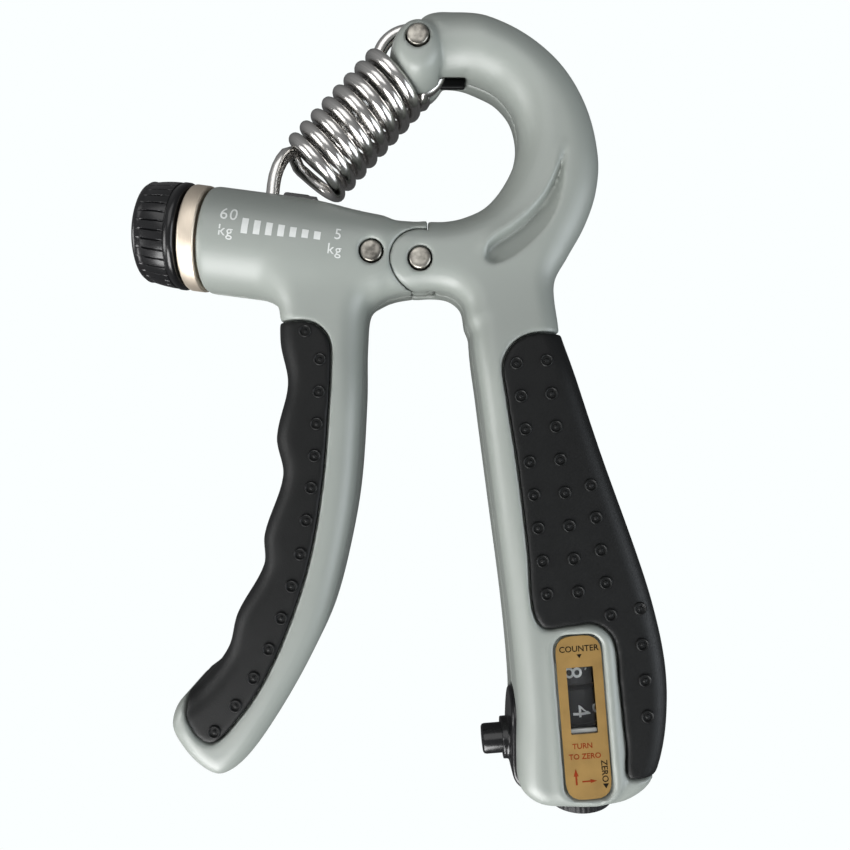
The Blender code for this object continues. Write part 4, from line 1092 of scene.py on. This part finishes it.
def arrow(length, width):
    """Arrow pointing along +Y, centred on the origin."""
    half, head = length / 2, 0.45 * length
    outline = [(-width * 0.18, -half), (width * 0.18, -half), (width * 0.18, half - head),
               (width / 2, half - head), (0.0, half), (-width / 2, half - head),
               (-width * 0.18, half - head)]
    return flat_shape([outline], 0.0, 0.04)


def triangle(size):
    return flat_shape([[(-size / 2, size * 0.4), (0.0, -size * 0.4), (size / 2, size * 0.4)]], 0.0, 0.04)


def make_label():
    """Gilt label with its opening, generic markings and the clear window."""
    opening = rounded_rectangle(*WINDOW_SIZE, 0.25, (0.0, LABEL_AT - WINDOW_AT))
    film = flat_shape([rounded_rectangle(*LABEL_SIZE, 3.2), opening], -0.35, 0.0)
    add_shape("gilt_label", counter_shape(film, LABEL_AT, 0.0, LABEL_TOP), "gold", "frame",
              "counter_label")

    def word(text, height, distance, side, angle=0.0):
        return counter_shape(lettering(text, height, 0.04, bold=0.015), distance, side, PRINT_TOP, angle)

    words = [word("COUNTER", 1.05, -9.1, 0.1), counter_shape(triangle(0.9), -7.7, 0.1, PRINT_TOP),
             word("ZERO", 1.1, 13.5, 3.1, -90.0), counter_shape(triangle(1.1), 16.2, 3.1, PRINT_TOP)]
    add_shape("label_print_black", merged(words), "ink", "frame")
    marks = [word("TURN", 0.95, 8.6, -0.6), word("TO ZERO", 0.95, 10.5, -0.3),
             counter_shape(arrow(2.9, 0.9), 14.2, -2.2, PRINT_TOP),
             counter_shape(arrow(2.7, 0.7), 15.1, 0.2, PRINT_TOP, -90.0)]
    add_shape("label_print_red", merged(marks), "red_ink", "frame")
    pane = flat_shape([rounded_rectangle(WINDOW_SIZE[0] + 0.9, WINDOW_SIZE[1] + 0.9, 0.3)], -0.35, 0.35)
    add_shape("clear_window", counter_shape(pane, WINDOW_AT, 0.0, 10.4), "clear", "frame",
              "counter_window")
    sill = flat_shape([rounded_rectangle(WINDOW_SIZE[0] - 0.1, 0.65, 0.2)], -0.5, 0.0)
    add_shape("window_sill", counter_shape(sill, WINDOW_AT + 5.8, 0.0, 10.9), "print", "frame")


def wheel_digits(distance, first, turned_by):
    """Ten digits round a number wheel, upright when the grip is held with its palm side up."""
    shapes = []
    for index in range(10):
        places, faces = lettering(str((first + index) % 10), 3.3, 0.08)
        wrapped = []
        for place in places:
            lift = WHEEL_RADIUS - 0.02 + place.z
            angle = place.y / WHEEL_RADIUS - math.radians(36.0 * index + turned_by)
            at = on_counter(distance + place.x, lift * math.sin(angle), lift * math.cos(angle))
            wrapped.append(at)
        shapes.append((wrapped, faces))
    return merged(shapes)


def make_wheels():
    for name, middle, digit, turned_by in (("tens_wheel", -4.4, 8, 6.0), ("units_wheel", 2.9, 4, -4.0)):
        profile = [(1.7, -3.3), (6.0, -3.3), (WHEEL_RADIUS, -3.1), (WHEEL_RADIUS, 3.1), (6.0, 3.3),
                   (1.7, 3.3)]
        turned(name + "_rim", profile, on_counter(middle), COUNTER_AXIS, "wheel", name, name, steps=60,
               closed=True)
        add_shape(name + "_digits", wheel_digits(middle + 0.85, digit, turned_by), "digit", name)


def make_reset_knob():
    """Ribbed knob at the end of the counter's shaft."""
    ribs = 40

    def ribbing(distance, angle):
        return 0.12 * (0.5 + 0.5 * math.cos(angle * ribs)) if 0.3 < distance < 2.9 else 0.0

    profile = [(0.0, 2.2), (1.6, 2.2), (1.6, 0.0), (5.7, 0.0), (6.1, 0.3), (6.2, 0.6), (6.2, 2.7),
               (6.0, 3.1), (5.6, 3.35), (4.6, 3.4), (0.0, 3.4)]
    turned("ribbed_reset_knob", profile, on_counter(20.0), COUNTER_AXIS, "satin_black", "reset",
           "reset_knob", crease=30.0, steps=240, shape=ribbing)


def make_button():
    """Count button in its collar, and the bezel round it."""
    profile = [(0.0, 11.0), (1.6, 11.0), (1.6, 7.7), (3.3, 7.7), (3.3, 6.9), (2.8, 6.9), (2.8, 0.75),
               (2.68, 0.3), (2.35, 0.06), (1.5, 0.0), (0.0, 0.05)]
    turned("count_plunger", profile, BUTTON_TIP, BUTTON_AXIS, "black", "button", "count_button",
           steps=56)

    def bezel(x, y, z):
        body = frame_solid(x, y, z)
        sheet = smooth_max(body - 0.8, -body - 1.0, 0.3)
        rim = smooth_max(sheet, bezel_edge(x, y, z), 0.9)
        collar = rod(x, y, z, BUTTON_TIP, BUTTON_AXIS, 3.894, 3.956, 6.544)
        bore = rod(x, y, z, BUTTON_TIP, BUTTON_AXIS, 3.05, -1.0, 20.0)
        return cut(smooth_min(rim, collar, 0.5), bore, 0.4)

    moulded("bezel_and_collar", bezel, (14.5, -106.0, -6.2), (24.0, -81.0, 6.2), 0.22, "black",
            "frame", "button_bezel")


# ---- floor, light and camera


FLOOR_HEIGHT = -0.00046          # metres, under the bosses on the palm pad's back
LIT_POINT = Vector((0.005, -0.004, 0.01))


def make_floor():
    """Plain pale floor that shines evenly."""
    material = bpy.data.materials.new("pale_floor")
    material.use_nodes = True
    tree = material.node_tree
    tree.nodes.clear()
    shine = add_node(tree, "Emission", Color=(0.965, 1.0, 1.0, 1.0), Strength=1.0)
    add_node(tree, "OutputMaterial", Surface=shine.outputs["Emission"])
    mesh = bpy.data.meshes.new("floor")
    mesh.from_pydata([(x, y, 0.0) for x, y in ((-3.0, -3.0), (3.0, -3.0), (3.0, 3.0), (-3.0, 3.0))],
                     [], [(0, 1, 2, 3)])
    mesh.materials.append(material)
    floor = new_object("floor", mesh)
    floor.location.z = FLOOR_HEIGHT
    floor.visible_diffuse = False
    floor.visible_glossy = False


def soft_light(name, direction, distance, size, power, colour=(1.0, 1.0, 1.0)):
    """Square area light that points at the middle of the grip."""
    data = bpy.data.lights.new(name, "AREA")
    data.size = size
    data.energy = power
    data.color = colour
    light = new_object(name, data)
    away = Vector(direction).normalized()
    light.location = LIT_POINT + away * distance
    light.rotation_euler = away.to_track_quat("Z", "Y").to_euler()


def make_world():
    """Studio surroundings: pale above, darker towards the lower right."""
    surroundings = bpy.data.worlds.new("studio")
    surroundings.use_nodes = True
    bpy.context.scene.world = surroundings
    tree = surroundings.node_tree
    tilt = add_node(tree, "VectorMath")
    tilt.operation = "DOT_PRODUCT"
    tree.links.new(add_node(tree, "TexCoord").outputs["Generated"], tilt.inputs[0])
    tilt.inputs[1].default_value = (-0.55, 0.25, 0.8)
    rise = add_node(tree, "MapRange", Value=tilt.outputs["Value"], From_Min=-0.5, From_Max=1.0)
    shades = add_node(tree, "ValToRGB", Fac=rise.outputs["Result"])
    shades.color_ramp.elements[0].color = (0.14, 0.142, 0.145, 1.0)
    shades.color_ramp.elements[1].color = (0.62, 0.63, 0.64, 1.0)
    set_sockets(tree, tree.nodes["Background"], Color=shades.outputs["Color"], Strength=0.66)


def make_camera():
    data = bpy.data.cameras.new("camera")
    data.lens = 28.6
    data.sensor_width = 36.0
    data.clip_start = 0.005
    camera = new_object("camera", data)
    camera.location = (0.00553, -0.00359, 0.1462)
    bpy.context.scene.camera = camera


for make in (finish_cad_nodes, make_moulded_bodies, make_bosses, make_slot_painted_shade, make_rivets,
             make_screws, make_spring, make_knob, make_slider_strip, make_scale, make_label,
             make_wheels, make_reset_knob, make_button, make_floor, make_world, make_camera):
    make()
soft_light("key", (-0.35, -0.85, 0.45), 0.7, 0.5, 9.0)
soft_light("top", (-0.2, 0.6, 1.0), 0.9, 0.7, 2.6)
soft_light("side", (-1.0, -0.1, 0.3), 0.7, 0.35, 2.6)
soft_light("fill", (0.9, -0.2, 0.4), 0.8, 0.6, 5.0, (0.88, 0.94, 1.0))
bpy.context.scene.view_settings.view_transform = "Standard"
